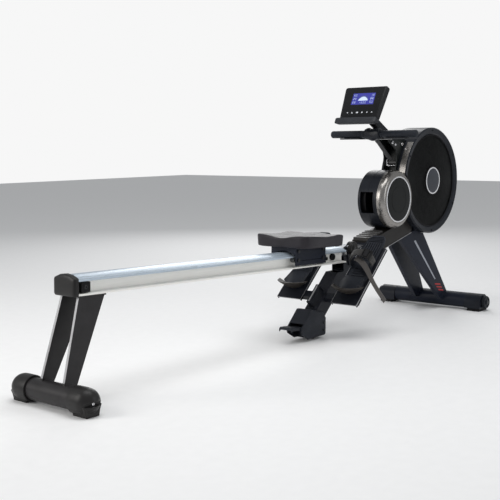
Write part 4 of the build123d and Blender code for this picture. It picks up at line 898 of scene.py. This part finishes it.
drum_near = make("drum_cap_near", drum_cap(), "silver", "frame", ["drum_side_caps"], sharp=40)
cut(drum_near, slab(plain, 0.735, 0.800, -0.0680, -0.0440, 0.4895, 0.6405))
make("drum_cap_far", turned(DRUM, [(0.0085, 0.0440), (0.1268, 0.0440), (0.1268, 0.0455), (0.1225, 0.0480),
                                   (0.0400, 0.0480), (0.0360, 0.0470), (0.0085, 0.0470)], closed=True,
                            seg=128),
     "housing", "frame", sharp=25)
make("drum_ring", turned(DRUM, [(0.0948, -0.0820), (0.1002, -0.0820), (0.1004, -0.0852),
                                (0.0992, -0.0866),
                                (0.0960, -0.0866), (0.0948, -0.0852)], closed=True, seg=160), "ring",
     "frame",
     sharp=30)
make("drum_disc", turned(DRUM, [(0.0950, -0.0820), (0.0950, -0.0848), (0.0900, -0.0852),
                                (0.0600, -0.0856),
                                (0.0598, -0.0850), (0.0575, -0.0850), (0.0573, -0.0857), (0.0, -0.0858)],
                         seg=128),
     "disc", "frame", sharp=25)


def cap_recesses():
    """Dark screw wells in the silver cap."""
    profile = [(0.0045, -0.0700), (0.0045, -0.0807), (0.0036, -0.0812), (0.0034, -0.0760), (0.0, -0.0760)]
    parts = []
    for z in (0.600, 0.476):
        x = DRUM[0] - math.sqrt(0.114 ** 2 - (z - DRUM[1]) ** 2)
        parts.append(turned((x, z), profile, seg=SCREW_SEG))
    return merged(*parts)


make("drum_cap_wells", cap_recesses(), "rubber", "frame")


def window_frame():
    """Raised lip round the window, and the seam bead that runs on from it."""
    def angle(z):
        return math.degrees(math.asin((z - DRUM[1]) / 0.127))

    low, high = angle(0.482), angle(0.574)
    lip = 0.0035
    parts = [
        arc_plate(DRUM, 0.1262, 0.1284, -0.0355, 0.0365, high, high + 1.8, 6),
        arc_plate(DRUM, 0.1262, 0.1284, -0.0355, 0.0365, low - 1.8, low, 6),
        arc_plate(DRUM, 0.1262, 0.1284, -0.0355, -0.0355 + lip, low, high, 24),
        arc_plate(DRUM, 0.1262, 0.1284, 0.0365 - lip, 0.0365, low, high, 24),
        arc_plate(DRUM, 0.1262, 0.1278, -0.0037, -0.0023, high + 1.8, 150, 72),
        arc_plate(DRUM, 0.1262, 0.1278, -0.0037, -0.0023, low - 1.8, -100, 48)]
    return merged(*parts)


make("drum_window_frame", window_frame(), "housing", "frame", bevel=0.0004)


def window_bars():
    """Slim inner wall behind the window, with the slot that lets the strap's drum be seen."""
    return merged(arc_plate(DRUM, 0.1060, 0.1080, -0.0480, -0.0180, -28, 18, 24),
                  arc_plate(DRUM, 0.1060, 0.1080, 0.0180, 0.0400, -28, 18, 24))


make("drum_inner_wall", window_bars(), "spool", "frame")

# ------------------------------------------------------------------ handle

HANDLE = (0.593, 0.822)


def grip():
    r = 0.0160
    profile = [(0.0126, 0.0385), (0.0150, 0.0385), (r, 0.0400), (r, 0.0520), (0.0152, 0.0530),
               (0.0152, 0.0540),
               (r, 0.0550), (r, 0.2080), (0.0157, 0.2115), (0.0145, 0.2140), (0.0120, 0.2155),
               (0.0, 0.2155)]
    return turned(HANDLE, profile, seg=48)


for side, label in SIDES:
    make(f"grip_{label}", sided(grip(), side), "grip", "handle", ["handle_grips"], sharp=40)


def handle_centre():
    """Moulded block round the bar, with two lobes above and a strap anchor below."""
    rows = []
    stations = 36
    for i in range(stations + 1):
        y = -0.038 + 0.076 * i / stations
        t = abs(y) / 0.038
        end = (1 - max(0.0, (t - 0.86) / 0.14) ** 2 * 0.12)
        up = 0.0235 + 0.0045 * math.exp(-((abs(y) - 0.022) / 0.009) ** 2)
        down = 0.0225 + 0.0070 * math.exp(-(y / 0.017) ** 2)
        deep = 0.0205 + 0.0015 * math.exp(-(y / 0.022) ** 2)
        row = []
        for k in range(40):
            a = 2 * math.pi * k / 40
            c, s = math.cos(a), math.sin(a)
            px = math.copysign(abs(c) ** 0.72, c) * deep * end
            pz = math.copysign(abs(s) ** 0.72, s) * (up if s > 0 else down) * end
            row.append(Vector((HANDLE[0] + px, y, HANDLE[1] + pz)))
        rows.append(row)
    return skin(rows)


make("handle_centre", handle_centre(), "housing", "handle", ["handle_block"], sharp=50)


def strap_line(start, end, count):
    a, b = Vector(start), Vector(end)
    return [a.lerp(b, i / count) for i in range(count + 1)]


def ribbon(points, sides, width, thick):
    """Flat strap along a line; sides give its width's direction at each point. Returns part and UVs."""
    rows, uvs = [], []
    travelled = 0.0
    for i, p in enumerate(points):
        if i:
            travelled += (p - points[i - 1]).length
        along = (points[min(i + 1, len(points) - 1)] - points[max(i - 1, 0)]).normalized()
        side = sides[i] - along * sides[i].dot(along)
        side.normalize()
        up = along.cross(side)
        half, t = width / 2, thick / 2
        section = [(-half, -t * 0.4), (-half + t, -t), (-half * 0.5, -t), (0, -t), (half * 0.5, -t),
                   (half - t, -t),
                   (half, -t * 0.4), (half, t * 0.4), (half - t, t), (half * 0.5, t), (0, t),
                   (-half * 0.5, t),
                   (-half + t, t), (-half, t * 0.4)]
        rows.append([p + side * a + up * b for a, b in section])
        uvs.append([(travelled, a + (0.2 if b > 0 else 0.0)) for a, b in section])
    return skin(rows), [u for row in uvs for u in row]


def add_uv(obj, coords):
    """UVs in metres; the mesh's vertices are still in the order they were made in."""
    layer = obj.data.uv_layers.new(name="strap")
    for loop in obj.data.loops:
        layer.data[loop.index].uv = coords[loop.vertex_index]


def make_strap(name, points, sides, width, thick, mat, body, stands_for=()):
    part, uvs = ribbon(points, sides, width, thick)
    obj = make(name, part, mat, body, stands_for, sharp=50, merge=False)
    add_uv(obj, uvs)
    return obj


PULL_WIDTH, PULL_THICK = 0.024, 0.0018


def pull_strap():
    start, end = (HANDLE[0] + 0.0185, 0, HANDLE[1] - 0.0160), (0.7395, 0, 0.7055)
    line = strap_line(start, end, 28)
    for i, p in enumerate(line):
        p.z -= 0.0012 * math.sin(math.pi * i / 28)
    part, uvs = ribbon(line, [Vector((0, 1, 0))] * len(line), PULL_WIDTH, PULL_THICK)
    verts, faces = part
    mesh = bpy.data.meshes.new("pull_webbing")
    mesh.from_pydata([tuple(v) for v in verts], [], faces)
    obj = bpy.data.objects.new("pull_webbing", mesh)
    SCENE.collection.objects.link(obj)
    mesh.materials.append(M["pull"])
    mesh.polygons.foreach_set("use_smooth", [True] * len(mesh.polygons))
    add_uv(obj, uvs)
    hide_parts("pull_strap")
    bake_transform(obj)


pull_strap()

GUIDE_ROD_X = 0.7435


def guide_loop():
    """Bent rod, U-shaped, seen from the rower's side."""
    x = GUIDE_ROD_X
    corners = [(x, 0.0245, 0.7085), (x, 0.0245, 0.6990), (x, 0.0235, 0.6870), (x, 0.0205, 0.6835),
               (x, 0.0, 0.6830),
               (x, -0.0205, 0.6835), (x, -0.0235, 0.6870), (x, -0.0245, 0.6990), (x, -0.0245, 0.7085)]
    return tube(smooth_path(corners, 8), 0.0031, 16)


make("guide_bracket", merged(guide_loop(), both(slab(plain, 0.742, 0.760, 0.0265, 0.0298, 0.681,
                                                     0.7075))),
     "chrome", "frame", ["strap_guide"], sharp=50)

# ------------------------------------------------------------------ console

FACE_LOW, FACE_HIGH, FACE_UP = 0.0945, 0.1070, 0.1595


CASE_STEPS = ((0.0004, 0.0044), (0.0004, 0.0026), (0.0016, 0.0014), (0.0030, 0.0004), (0.0060, 0.0),
              (0.0105, 0.0), (0.0110, 0.0008), (0.0125, 0.0008), (0.0130, 0.0), (0.0185, 0.0),
              (0.0205, 0.0010), (0.0220, 0.0040))


def console_plate(inset, radius, depths):
    """Rounded trapezium stacked through (depth, extra inset) steps."""
    rows = []
    slope = (FACE_HIGH - FACE_LOW) / FACE_UP
    for depth, extra in depths:
        e = inset + extra
        corners = [(-FACE_LOW + e - slope * e, e), (FACE_LOW - e + slope * e, e),
                   (FACE_HIGH - e - slope * e, FACE_UP - e),
                   (-FACE_HIGH + e + slope * e, FACE_UP - e)]
        rows.append([on_console(depth, q[0], q[1]) for q in rounded(corners, max(radius - extra, 0.002))])
    return skin(rows)


make("console_shell", console_plate(0.0, 0.012, CASE_STEPS), "console", "console", ["console_case"],
     sharp=28)
make("console_panel", console_plate(0.0048, 0.009, [(0.0010, 0.0), (0.0000, 0.0), (-0.0002, 0.0006)]),
     "face",
     "console", sharp=30)


def back_bulge():
    """Battery and hinge housing on the console's back."""
    rows = []
    for depth, e in ((0.0215, 0.0), (0.0270, 0.001), (0.0315, 0.005), (0.0330, 0.012)):
        corners = [(-0.060 + e, 0.018 + e), (0.060 - e, 0.018 + e), (0.060 - e, 0.118 - e),
                   (-0.060 + e, 0.118 - e)]
        rows.append([on_console(depth, q[0], q[1]) for q in rounded(corners, 0.010)])
    return skin(rows)


make("console_back", back_bulge(), "console", "console", sharp=30)


def lugs():
    outline = [(0.500, 0.893), (0.548, 0.893), (0.556, 0.897), (0.5595, 0.905), (0.556, 0.913),
               (0.548, 0.917),
               (0.512, 0.917)]
    return both(prism(outline, 0.0225, 0.0278))


make("console_lugs", lugs(), "console", "console", bevel=0.0010)


def ledge():
    """Tablet ledge: a shelf with a rounded front lip, deeper in the middle."""
    rows = []
    half = FACE_LOW + 0.007
    for i in range(33):
        y = -half + 2 * half * i / 32
        t = abs(y) / half
        drop = -0.0250 + 0.0060 * ramp(t, 0.90, 1.0)
        lip = 0.0052 - 0.0030 * ramp(t, 0.93, 1.0)
        front = -0.0215 + 0.0040 * ramp(t, 0.92, 1.0)
        section = [(0.018, 0.0), (0.0005, 0.0005), (-0.0120, 0.0002), (-0.0130, 0.0012), (-0.0134, lip),
                   (-0.0150, lip + 0.0010), (-0.0172, lip - 0.0006), (front + 0.0010, -0.0080),
                   (front, drop + 0.0030), (front + 0.0030, drop), (0.002, drop + 0.0060),
                   (0.018, -0.0050)]
        rows.append([on_console(a, y, b) for a, b in section])
    return skin(rows)


make("console_ledge", ledge(), "ledge", "console", sharp=35)
RIM_BARS = ((-0.0590, 0.0590, 0.1280, 0.1305), (-0.0590, 0.0590, 0.0715, 0.0740),
            (-0.0590, -0.0560, 0.0740, 0.1280), (0.0560, 0.0590, 0.0740, 0.1280))
make("console_screen_rim", merged(*[slab(on_console, -0.0006, 0.0004, *bar) for bar in RIM_BARS]), "key",
     "console", bevel=0.0002)
make("console_display", slab(on_console, -0.0004, 0.0004, -0.0560, 0.0560, 0.0740, 0.1280), "screen",
     "console")


def flat_shape(points, depth=-0.0007):
    """Thin printed shape on the console's face, from (y, up) points."""
    rows = [[on_console(d, y, up) for y, up in points] for d in (depth + 0.0004, depth)]
    return skin(rows)


def digit(y, up, size, lit):
    """Seven-segment figure; lit names the segments that show."""
    w, t = size * 0.52, size * 0.09
    bars = {"a": (0, size, w, t), "g": (0, size / 2, w, t), "d": (0, 0, w, t),
            "f": (-w / 2, size * 0.75, t, size * 0.42),
            "b": (w / 2, size * 0.75, t, size * 0.42), "e": (-w / 2, size * 0.25, t, size * 0.42),
            "c": (w / 2, size * 0.25, t, size * 0.42)}
    out = []
    for key in lit:
        cy, cu, sy, su = bars[key]
        y0, y1, u0, u1 = y - cy - sy / 2, y - cy + sy / 2, up + cu - su / 2, up + cu + su / 2
        out.append(flat_shape([(y0, u0), (y1, u0), (y1, u1), (y0, u1)]))
    return out


ZERO, ONE, TWO, FIVE, EIGHT = "abcdef", "bc", "abged", "afgcd", "abcdefg"
figures = []
for column, rows in ((0.043, (FIVE, TWO, ZERO)), (-0.043, (ONE, EIGHT, FIVE))):
    for i, lit in enumerate(rows):
        figures += digit(column + 0.0045, 0.1140 - i * 0.0165, 0.0085, lit)
        figures += digit(column - 0.0045, 0.1140 - i * 0.0165, 0.0085, EIGHT if i == 1 else ZERO)
for i, lit in enumerate((ONE, TWO, ZERO, ZERO)):
    figures += digit(0.0150 - i * 0.0100, 0.0790, 0.0080, lit)
make("display_figures", merged(*figures), "segment", "console")


def gauge():
    """Half-round dial in the middle of the display: an arch of blocks over a filled bow."""
    arch = []
    for k in range(13):
        a0, a1 = math.radians(12 + 12 * k), math.radians(12 + 12 * k + 9)
        arch.append(flat_shape([(0.026 * math.cos(a), 0.0900 + 0.026 * math.sin(a)) for a in (a0, a1)]
                               + [(0.0222 * math.cos(a), 0.0900 + 0.0222 * math.sin(a))
                                  for a in (a1, a0)]))
    points = [(0.0245 * math.cos(math.pi * k / 20), 0.0925 + 0.0185 * math.sin(math.pi * k / 20) ** 1.6)
              for k in range(21)]
    return merged(*arch), flat_shape(points, -0.0008)


arch, bow = gauge()
make("display_arch", arch, "sky", "console")
make("display_bow", bow, "segment", "console")

KEY_UP, KEY_PITCH = 0.0360, 0.0248


def icon(kind, y):
    """Plain generic mark on a key."""
    r = 0.0036
    shapes = []
    if kind in ("left", "right"):
        s = 1 if kind == "left" else -1
        shapes.append([(y - s * r, KEY_UP - r), (y + s * r * 1.1, KEY_UP), (y - s * r, KEY_UP + r)])
    elif kind == "bars":
        for k in range(3):
            shapes.append([(y - r + k * 0.0028, KEY_UP - r), (y - r + k * 0.0028 + 0.0018, KEY_UP - r),
                           (y - r + k * 0.0028 + 0.0018, KEY_UP - r + 0.003 + k * 0.002),
                           (y - r + k * 0.0028, KEY_UP - r + 0.003 + k * 0.002)])
    elif kind == "box":
        shapes.append([(y - r * 1.4, KEY_UP - r * 0.8), (y + r * 1.4, KEY_UP - r * 0.8),
                       (y + r * 1.4, KEY_UP + r * 0.8), (y - r * 1.4, KEY_UP + r * 0.8)])
    elif kind == "round":
        shapes.append([(y + r * math.cos(math.pi * k / 10), KEY_UP + r * math.sin(math.pi * k / 10))
                       for k in range(20)])
    else:
        shapes.append([(y - r, KEY_UP + 0.0008), (y, KEY_UP + r), (y + r, KEY_UP + 0.0008),
                       (y, KEY_UP - r)])
    return merged(*[flat_shape(points, -0.0010) for points in shapes])


for number, kind in enumerate(("left", "bars", "box", "round", "diamond", "right")):
    y = (2.5 - number) * KEY_PITCH
    rows = []
    for depth, r in ((0.0026, 0.0058), (-0.0004, 0.0058), (-0.0007, 0.0054), (-0.0008, 0.0040)):
        rows.append([on_console(depth, y + r * math.cos(math.pi * k / 16),
                                KEY_UP + r * math.sin(math.pi * k / 16))
                     for k in range(32)])
    body = f"console_key_{number + 1}"
    make(f"key_cap_{number + 1}", skin(rows), "key", body, [body], sharp=30)
    make(f"key_mark_{number + 1}", icon(kind, y), "icon", body)

# ------------------------------------------------------------------ footrests

FOOT_Y = 0.1375


def sole_outline(k, seg):
    """Half widths of the sole by position: (along, half width) as a closed outline."""
    a = 2 * math.pi * k / seg
    c, s = math.cos(a), math.sin(a)
    along = 0.207 + 0.155 * math.copysign(abs(c) ** 0.45, c)
    waist = 0.046 + 0.006 * ramp(0.19 - along, 0.0, 0.1)
    across = waist * math.copysign(abs(s) ** 0.40, s)
    return along, across


def shoe_sole(sign):
    seg = 96
    rows = []
    for scale, h in ((0.2, 0.0006), (0.97, 0.0006), (1.0, 0.0020), (1.0, 0.0088), (0.985, 0.0100),
                     (0.955, 0.0100),
                     (0.940, 0.0078), (0.2, 0.0074)):
        row = []
        for k in range(seg):
            along, across = sole_outline(k, seg)
            row.append(on_plate(0.207 + (along - 0.207) * scale, sign * (FOOT_Y + across * scale), h))
        rows.append(row)
    return skin(rows)


def shoe_ribs(sign):
    """Ribs along the toe, and a few across its tip."""
    parts = []
    for k in range(7):
        y = FOOT_Y - 0.033 + k * 0.011
        parts.append(slab(on_plate, 0.226, 0.322, sign * (y - 0.0022), sign * (y + 0.0022), 0.0070,
                          0.0118))
    for k in range(4):
        a = 0.328 + k * 0.0075
        parts.append(slab(on_plate, a, a + 0.0042, sign * (FOOT_Y - 0.034 + k * 0.002),
                          sign * (FOOT_Y + 0.034 - k * 0.002),
                          0.0070, 0.0118))
    for k in range(5):
        a = 0.128 + k * 0.013
        parts.append(slab(on_plate, a, a + 0.006, sign * (FOOT_Y - 0.030), sign * (FOOT_Y + 0.030),
                          0.0070, 0.0100))
    return merged(*parts)


def heel_cradle(sign):
    """Heel rest: a curved wall that rises behind the heel and ends in two pointed wings."""
    rows = []
    stations = 48
    for i in range(stations + 1):
        v = -1 + 2 * i / stations
        w = abs(v)
        y = 0.0740 * v
        start = 0.0440 + 0.028 * w ** 2.0
        low = 0.0020 + 0.026 * w ** 2.0
        high = 0.0640 - 0.026 * w ** 1.8
        thick = 0.0110 * (1 - 0.70 * w ** 3) + 0.0006
        flare = 0.020 * (1 - 0.3 * w ** 2)
        rows.append([on_plate(a, sign * (FOOT_Y + y), h) for a, h in (
            (start, low), (start - flare * 0.45, (low + high) / 2), (start - flare, high - 0.0020),
            (start - flare + thick * 0.3, high), (start - flare + thick, high - 0.0040),
            (start - flare * 0.3 + thick * 1.4, (low + high) / 2), (start + thick * 1.8, low))])
    return skin(rows)


def heel_floor(sign):
    """Raised dish under the heel, joining the cradle to the sole."""
    rows = []
    for i in range(13):
        t = i / 12
        half = 0.052 - 0.004 * t
        upper, lower = [], []
        for k in range(25):
            v = -1 + 2 * k / 24
            along = 0.052 + 0.086 * t + 0.020 * abs(v) ** 2.4 * (1 - t)
            y = sign * (FOOT_Y + v * half)
            upper.append(on_plate(along, y, 0.0100 + 0.0170 * abs(v) ** 3 * (1 - 0.75 * t)))
            lower.append(on_plate(along, y, 0.0030))
        rows.append(upper + lower[::-1])
    return skin(rows)


def clamp_knob(sign):
    """Knob and stud below the footplate."""
    rows = []
    for h, r in ((0.0010, 0.0036), (-0.0125, 0.0036), (-0.0128, 0.0100), (-0.0150, 0.0138),
                 (-0.0235, 0.0140),
                 (-0.0258, 0.0122), (-0.0262, 0.0060)):
        row = []
        for k in range(48):
            a = 2 * math.pi * k / 48
            rr = r * (1 + (0.06 * math.cos(8 * a) if r > 0.011 else 0))
            row.append(on_plate(0.150 + rr * math.cos(a), sign * (FOOT_Y + rr * math.sin(a)), h))
        rows.append(row)
    return skin(rows)


STRAP_AT = 0.205


def arch_points(sign):
    """Line of the strap over the foot, from the inner lug to the outer one."""
    line = [(-0.0490, 0.0120), (-0.0500, 0.0280), (-0.0475, 0.0450), (-0.0370, 0.0600), (-0.0190, 0.0690),
            (0.0, 0.0715), (0.0190, 0.0690), (0.0370, 0.0600), (0.0475, 0.0450), (0.0500, 0.0280),
            (0.0490, 0.0120)]
    lean = 0.010
    return smooth_path([on_plate(STRAP_AT + lean * (h / 0.07), sign * (FOOT_Y + y), h) for y, h in line],
                       6)


def tail_points(sign):
    """Loose end of the strap, from the buckle out over the side and down."""
    line = [(0.2705, 0.1250, 0.3225), (0.2640, 0.1500, 0.3160), (0.2540, 0.1790, 0.2980),
            (0.2470, 0.2030, 0.2700),
            (0.2470, 0.2220, 0.2380), (0.2550, 0.2420, 0.2020), (0.2660, 0.2560, 0.1750),
            (0.2740, 0.2630, 0.1580)]
    if sign > 0:
        line = line[:4]
    return smooth_path([(x, sign * y, z) for x, y, z in line], 7)


def buckle(sign):
    """Cam buckle on the outer side of the strap's arch."""
    def place(a, y, h):
        arch = 0.0680 - 0.0121 * ((y - 0.012) / 0.030) ** 1.6
        return on_plate(a + 0.009, sign * (FOOT_Y + y), arch + 0.0015 + h)

    bars = ((0.184, 0.190, 0.020, 0.050, 0.0, 0.0062), (0.222, 0.228, 0.020, 0.050, 0.0, 0.0062),
            (0.184, 0.228, 0.018, 0.0225, 0.0, 0.0050), (0.184, 0.228, 0.046, 0.0505, 0.0, 0.0050),
            (0.190, 0.222, 0.027, 0.041, 0.0030, 0.0085))
    return merged(*[slab(place, *bar) for bar in bars])


WEB_WIDTH, WEB_THICK = 0.034, 0.0020
TAIL_WIDTH, TAIL_THICK = 0.025, 0.0018

for sign, label in SIDES:
    body = f"footrest_{label}"
    make(f"shoe_sole_{label}", shoe_sole(sign), "shoe", body, [f"footrest_{label}"], sharp=40)
    make(f"shoe_ribs_{label}", shoe_ribs(sign), "shoe", body, bevel=0.0008)
    make(f"heel_cradle_{label}", heel_cradle(sign), "heel", body, sharp=55, subdivide=1)
    make(f"heel_floor_{label}", heel_floor(sign), "shoe", body, sharp=50)
    make(f"clamp_knob_{label}", clamp_knob(sign), "rubber", body, sharp=35)
    for edge in (-1, 1):
        lug = prism([(STRAP_AT - 0.024, 0.0040), (STRAP_AT + 0.024, 0.0040), (STRAP_AT + 0.021, 0.0260),
                     (STRAP_AT + 0.012, 0.0310), (STRAP_AT - 0.012, 0.0310), (STRAP_AT - 0.021, 0.0260)],
                    *sorted((sign * (FOOT_Y + edge * 0.0435), sign * (FOOT_Y + edge * 0.0480))),
                    place=on_plate)
        name = "inner" if edge < 0 else "outer"
        make(f"strap_lug_{name}_{label}", lug, "shoe", body, bevel=0.0012)
    arch_line = arch_points(sign)
    along = (on_plate(1, 0, 0) - on_plate(0, 0, 0)).normalized()
    strap = make_strap(f"foot_strap_web_{label}", arch_line, [along] * len(arch_line), WEB_WIDTH,
                       WEB_THICK, "foot_web", body,
                       [f"foot_strap_{label}"])
    tail_line = tail_points(sign)
    sides = []
    for i in range(len(tail_line)):
        t = i / (len(tail_line) - 1)
        sides.append(along.lerp(Vector((0.93, sign * -0.05, 0.36)), ramp(t, 0.1, 0.7)))
    tail = make_strap(f"foot_strap_tail_{label}", tail_line, sides, TAIL_WIDTH, TAIL_THICK, "strap", body)
    clasp = make(f"buckle_{label}", buckle(sign), "rubber", body, bevel=0.0008)

def plate_edges():
    """Painted highlight strips along the footplates' edges, and the dark slots along them."""
    strips, slots = [], []
    for y in (0.0770, 0.1980):
        out = 1 if y > 0.1 else -1
        y0, y1 = sorted((y, y + out * 0.0012))
        strips.append(slab(on_plate, 0.0, 0.303, y0, y1, -0.0030, 0.0006))
        for k in range(34):
            a = 0.010 + k * 0.0086
            y0, y1 = sorted((y, y + out * 0.0005))
            slots.append(slab(on_plate, a, a + 0.0052, y0, y1, -0.0095, -0.0055))
    strips.append(slab(on_plate, -0.0010, 0.0, 0.0770, 0.1980, -0.0030, 0.0004))
    return both(merged(*strips)), both(merged(*slots))


edges, slots = plate_edges()
# painted highlight strips on the footplates' edges
make("footplate_edge_highlights", edges, "edge", "frame", bevel=0.0003)
make("footplate_slots", slots, "rubber", "frame")

# ------------------------------------------------------------------ beam details


def loop_highlight_strip():
    """Painted highlight: a light strip along the grab loop's outer face."""
    c, s = math.cos(PLATE_SLOPE), math.sin(PLATE_SLOPE)

    def place(along, y, up):
        return Vector((0.135 + along * c - up * s, y, 0.1188 + along * s + up * c))
    return slab(place, 0.014, 0.096, -0.0030, 0.0030, 0.0358, 0.0366)


# painted highlight on the grab loop
make("loop_highlight_strip", loop_highlight_strip(), "edge", "frame", bevel=0.0003)


def step_ribs():
    """Light treads on the steps across the beam cover."""
    starts = [0.5035 + 0.022 * i for i in range(5)]
    return merged(*[slab(on_beam, x, x + 0.0155, -0.0400, 0.0400, 0.0782, 0.0805) for x in starts])


make("step_treads", step_ribs(), "tread_light", "frame", bevel=0.0010)
# painted highlight: a light line along the lower side edges of the beam cover
make("cover_edge_highlight", both(slab(on_beam, 0.512, 0.842, 0.0460, 0.0470, -0.0020, 0.0006)), "edge",
     "frame",
     bevel=0.0003)


FOLD_PIN = (0.366, 0.350)


def fold_knob():
    """Round knob with a dished face and a ribbed edge."""
    rows = []
    profile = [(0.0082, 0.0372), (0.0265, 0.0372), (0.0280, 0.0390), (0.0280, 0.0520), (0.0262, 0.0552),
               (0.0225, 0.0560), (0.0200, 0.0548), (0.0100, 0.0546), (0.0085, 0.0556), (0.0, 0.0556)]
    for r, y in profile:
        row = []
        for k in range(96):
            a = 2 * math.pi * k / 96
            rr = r - (0.0007 if r > 0.0275 and k % 4 < 2 else 0.0)
            row.append(Vector((FOLD_PIN[0] + rr * math.cos(a), y, FOLD_PIN[1] + rr * math.sin(a))))
        rows.append(row)
    return both(skin(rows))


make("fold_knobs", fold_knob(), "cap", "frame", ["fold_pin"], sharp=35)
make("fold_shaft", turned(FOLD_PIN, [(0.0080, -0.0372), (0.0080, 0.0372)], seg=32), "steel", "frame")
make("ear_bolts", both(merged(bolt_head((0.405, 0.0360, 0.352), 0.0070, 0.0045, 1),
                              bolt_head((0.345, 0.0360, 0.358), 0.0058, 0.0045, 1))), "chrome", "frame")
make("post_bolts", both(merged(bolt_head((0.690, 0.0350, 0.785), 0.0070, 0.0050, 1),
                               bolt_head((0.770, 0.0350, 0.777), 0.0070, 0.0050, 1),
                               bolt_head((0.715, 0.0350, 0.775), 0.0055, 0.0040, 1))), "chrome", "frame")

# ------------------------------------------------------------------ boot and pedal


def boot():
    """Moulded boot: its walls lean in towards the top and its front corners are well rounded."""
    outline = [(0.188, 0.009), (0.191, 0.082), (0.170, 0.108), (0.092, 0.126), (0.020, 0.054),
               (0.024, 0.034),
               (0.066, 0.009)]
    rows = []
    levels = [(-0.0390, 0.010), (-0.0385, 0.006), (-0.0340, 0.0015), (-0.0240, 0.0), (0.0240, 0.0),
              (0.0340, 0.0015),
              (0.0385, 0.006), (0.0390, 0.010)]
    centre = Vector((0.110, 0.065))
    for y, pull in levels:
        row = []
        for x, z in rounded(outline, 0.010, 5):
            p = Vector((x, z))
            q = p + (centre - p).normalized() * (pull if x > 0.15 else pull * 0.35)
            q.y = max(q.y, 0.009)
            row.append(Vector((q.x, y, q.y)))
        rows.append(row)
    return skin(rows)


boot_piece = make("boot", boot(), "shoe", "frame", ["mid_leg_boot"], sharp=48)
cut(boot_piece, slab(plain, -0.010, 0.088, -0.0330, 0.0330, 0.0, 0.0740))
make("boot_screws", both(merged(bolt_head((0.172, 0.0375, 0.086), 0.0045, 0.0018, 1),
                                bolt_head((0.166, 0.0382, 0.034), 0.0045, 0.0018, 1))), "rubber", "frame")


def pedal():
    """Curved pedal blade with a rolled rear edge, on two side arms."""
    rows = []
    line = [(0.083, 0.050), (0.060, 0.058), (0.040, 0.061), (0.015, 0.0645), (-0.010, 0.0675),
            (-0.028, 0.0680),
            (-0.0335, 0.0625)]
    for x, z in line:
        row = []
        for y, drop in ((-0.0318, 0.012), (-0.0318, 0.002), (-0.0300, 0.0), (-0.015, -0.0008),
                        (0.0, -0.0010),
                        (0.015, -0.0008), (0.0300, 0.0), (0.0318, 0.002), (0.0318, 0.012),
                        (0.0270, 0.012),
                        (0.0270, 0.0050), (0.0, 0.0042), (-0.0270, 0.0050), (-0.0270, 0.012)):
            scale = 1.0 if x < 0.07 else 0.98
            row.append(Vector((x, y * scale, z - drop)))
        rows.append(row)
    return skin(rows)


make("pedal_blade", pedal(), "shoe", "pedal", ["release_pedal"], bevel=0.0010, rounds=2)
TREADS = ((-0.020, 0.0672), (-0.010, 0.0664), (0.000, 0.0654), (0.010, 0.0642), (0.020, 0.0630))
treads = [slab(plain, x, x + 0.003, -0.024, 0.024, z, z + 0.0016) for x, z in TREADS]
make("pedal_treads", merged(*treads), "rubber", "pedal", bevel=0.0005)

grey_stripes, red_stripes = leg_stripes()
make("leg_stripes_grey", grey_stripes, "stripe", "frame")
make("leg_stripes_red", red_stripes, "red", "frame")

# ------------------------------------------------------------------ floor and light


FLOOR_HALF = 14
BACKDROP, ROOM = 0.93, 0.42     # brightness that the camera sees, and that lights the machine


def add_floor():
    part = slab(plain, -FLOOR_HALF, FLOOR_HALF, -FLOOR_HALF, FLOOR_HALF, -0.02, 0.0)
    mesh = bpy.data.meshes.new("floor")
    mesh.from_pydata([tuple(v) for v in part[0]], [], part[1])
    floor = bpy.data.objects.new("floor", mesh)
    SCENE.collection.objects.link(floor)
    mesh.materials.append(shader("pale_floor", "frame_paint", (0.92, 0.92, 0.92), 0.7, grain=0.05,
                                 mottle=0.01))


def area(name, place, aim, size, power, colour=(1, 1, 1)):
    data = bpy.data.lights.new(name, "AREA")
    data.shape = "RECTANGLE"
    data.size, data.size_y = size
    data.energy = power
    data.color = colour
    lamp = bpy.data.objects.new(name, data)
    lamp.location = place
    lamp.rotation_mode = "QUATERNION"
    lamp.rotation_quaternion = (Vector(aim) - Vector(place)).to_track_quat("-Z", "Y")
    SCENE.collection.objects.link(lamp)


add_floor()
area("top_box", (-0.4, -0.4, 3.6), (0.0, 0.0, 0.3), (3.0, 2.0), 62)
area("left_box", (-3.4, 1.6, 1.7), (0.1, 0.0, 0.4), (1.6, 2.0), 46, (1.0, 0.98, 0.95))
area("right_box", (1.2, -3.4, 1.4), (0.4, 0.0, 0.4), (1.4, 1.8), 16, (0.95, 0.97, 1.0))
area("far_box", (3.2, 2.6, 2.2), (0.4, 0.0, 0.4), (2.0, 2.0), 30)


def studio_world():
    """White backdrop for the camera; a dimmer room lights the machine."""
    world = bpy.data.worlds.new("studio")
    SCENE.world = world
    world.use_nodes = True
    tree = world.node_tree
    room = tree.nodes["Background"]
    room.inputs["Color"].default_value = (0.96, 0.98, 1.0, 1.0)
    room.inputs["Strength"].default_value = ROOM
    backdrop = tree.nodes.new("ShaderNodeBackground")
    backdrop.inputs["Color"].default_value = (1.0, 1.0, 1.0, 1.0)
    backdrop.inputs["Strength"].default_value = BACKDROP
    seen = tree.nodes.new("ShaderNodeLightPath")
    mix = tree.nodes.new("ShaderNodeMixShader")
    tree.links.new(seen.outputs["Is Camera Ray"], mix.inputs["Fac"])
    tree.links.new(room.outputs["Background"], mix.inputs[1])
    tree.links.new(backdrop.outputs["Background"], mix.inputs[2])
    tree.links.new(mix.outputs["Shader"], tree.nodes["World Output"].inputs["Surface"])


studio_world()
SCENE.view_settings.view_transform = "Standard"
SCENE.view_settings.look = "None"
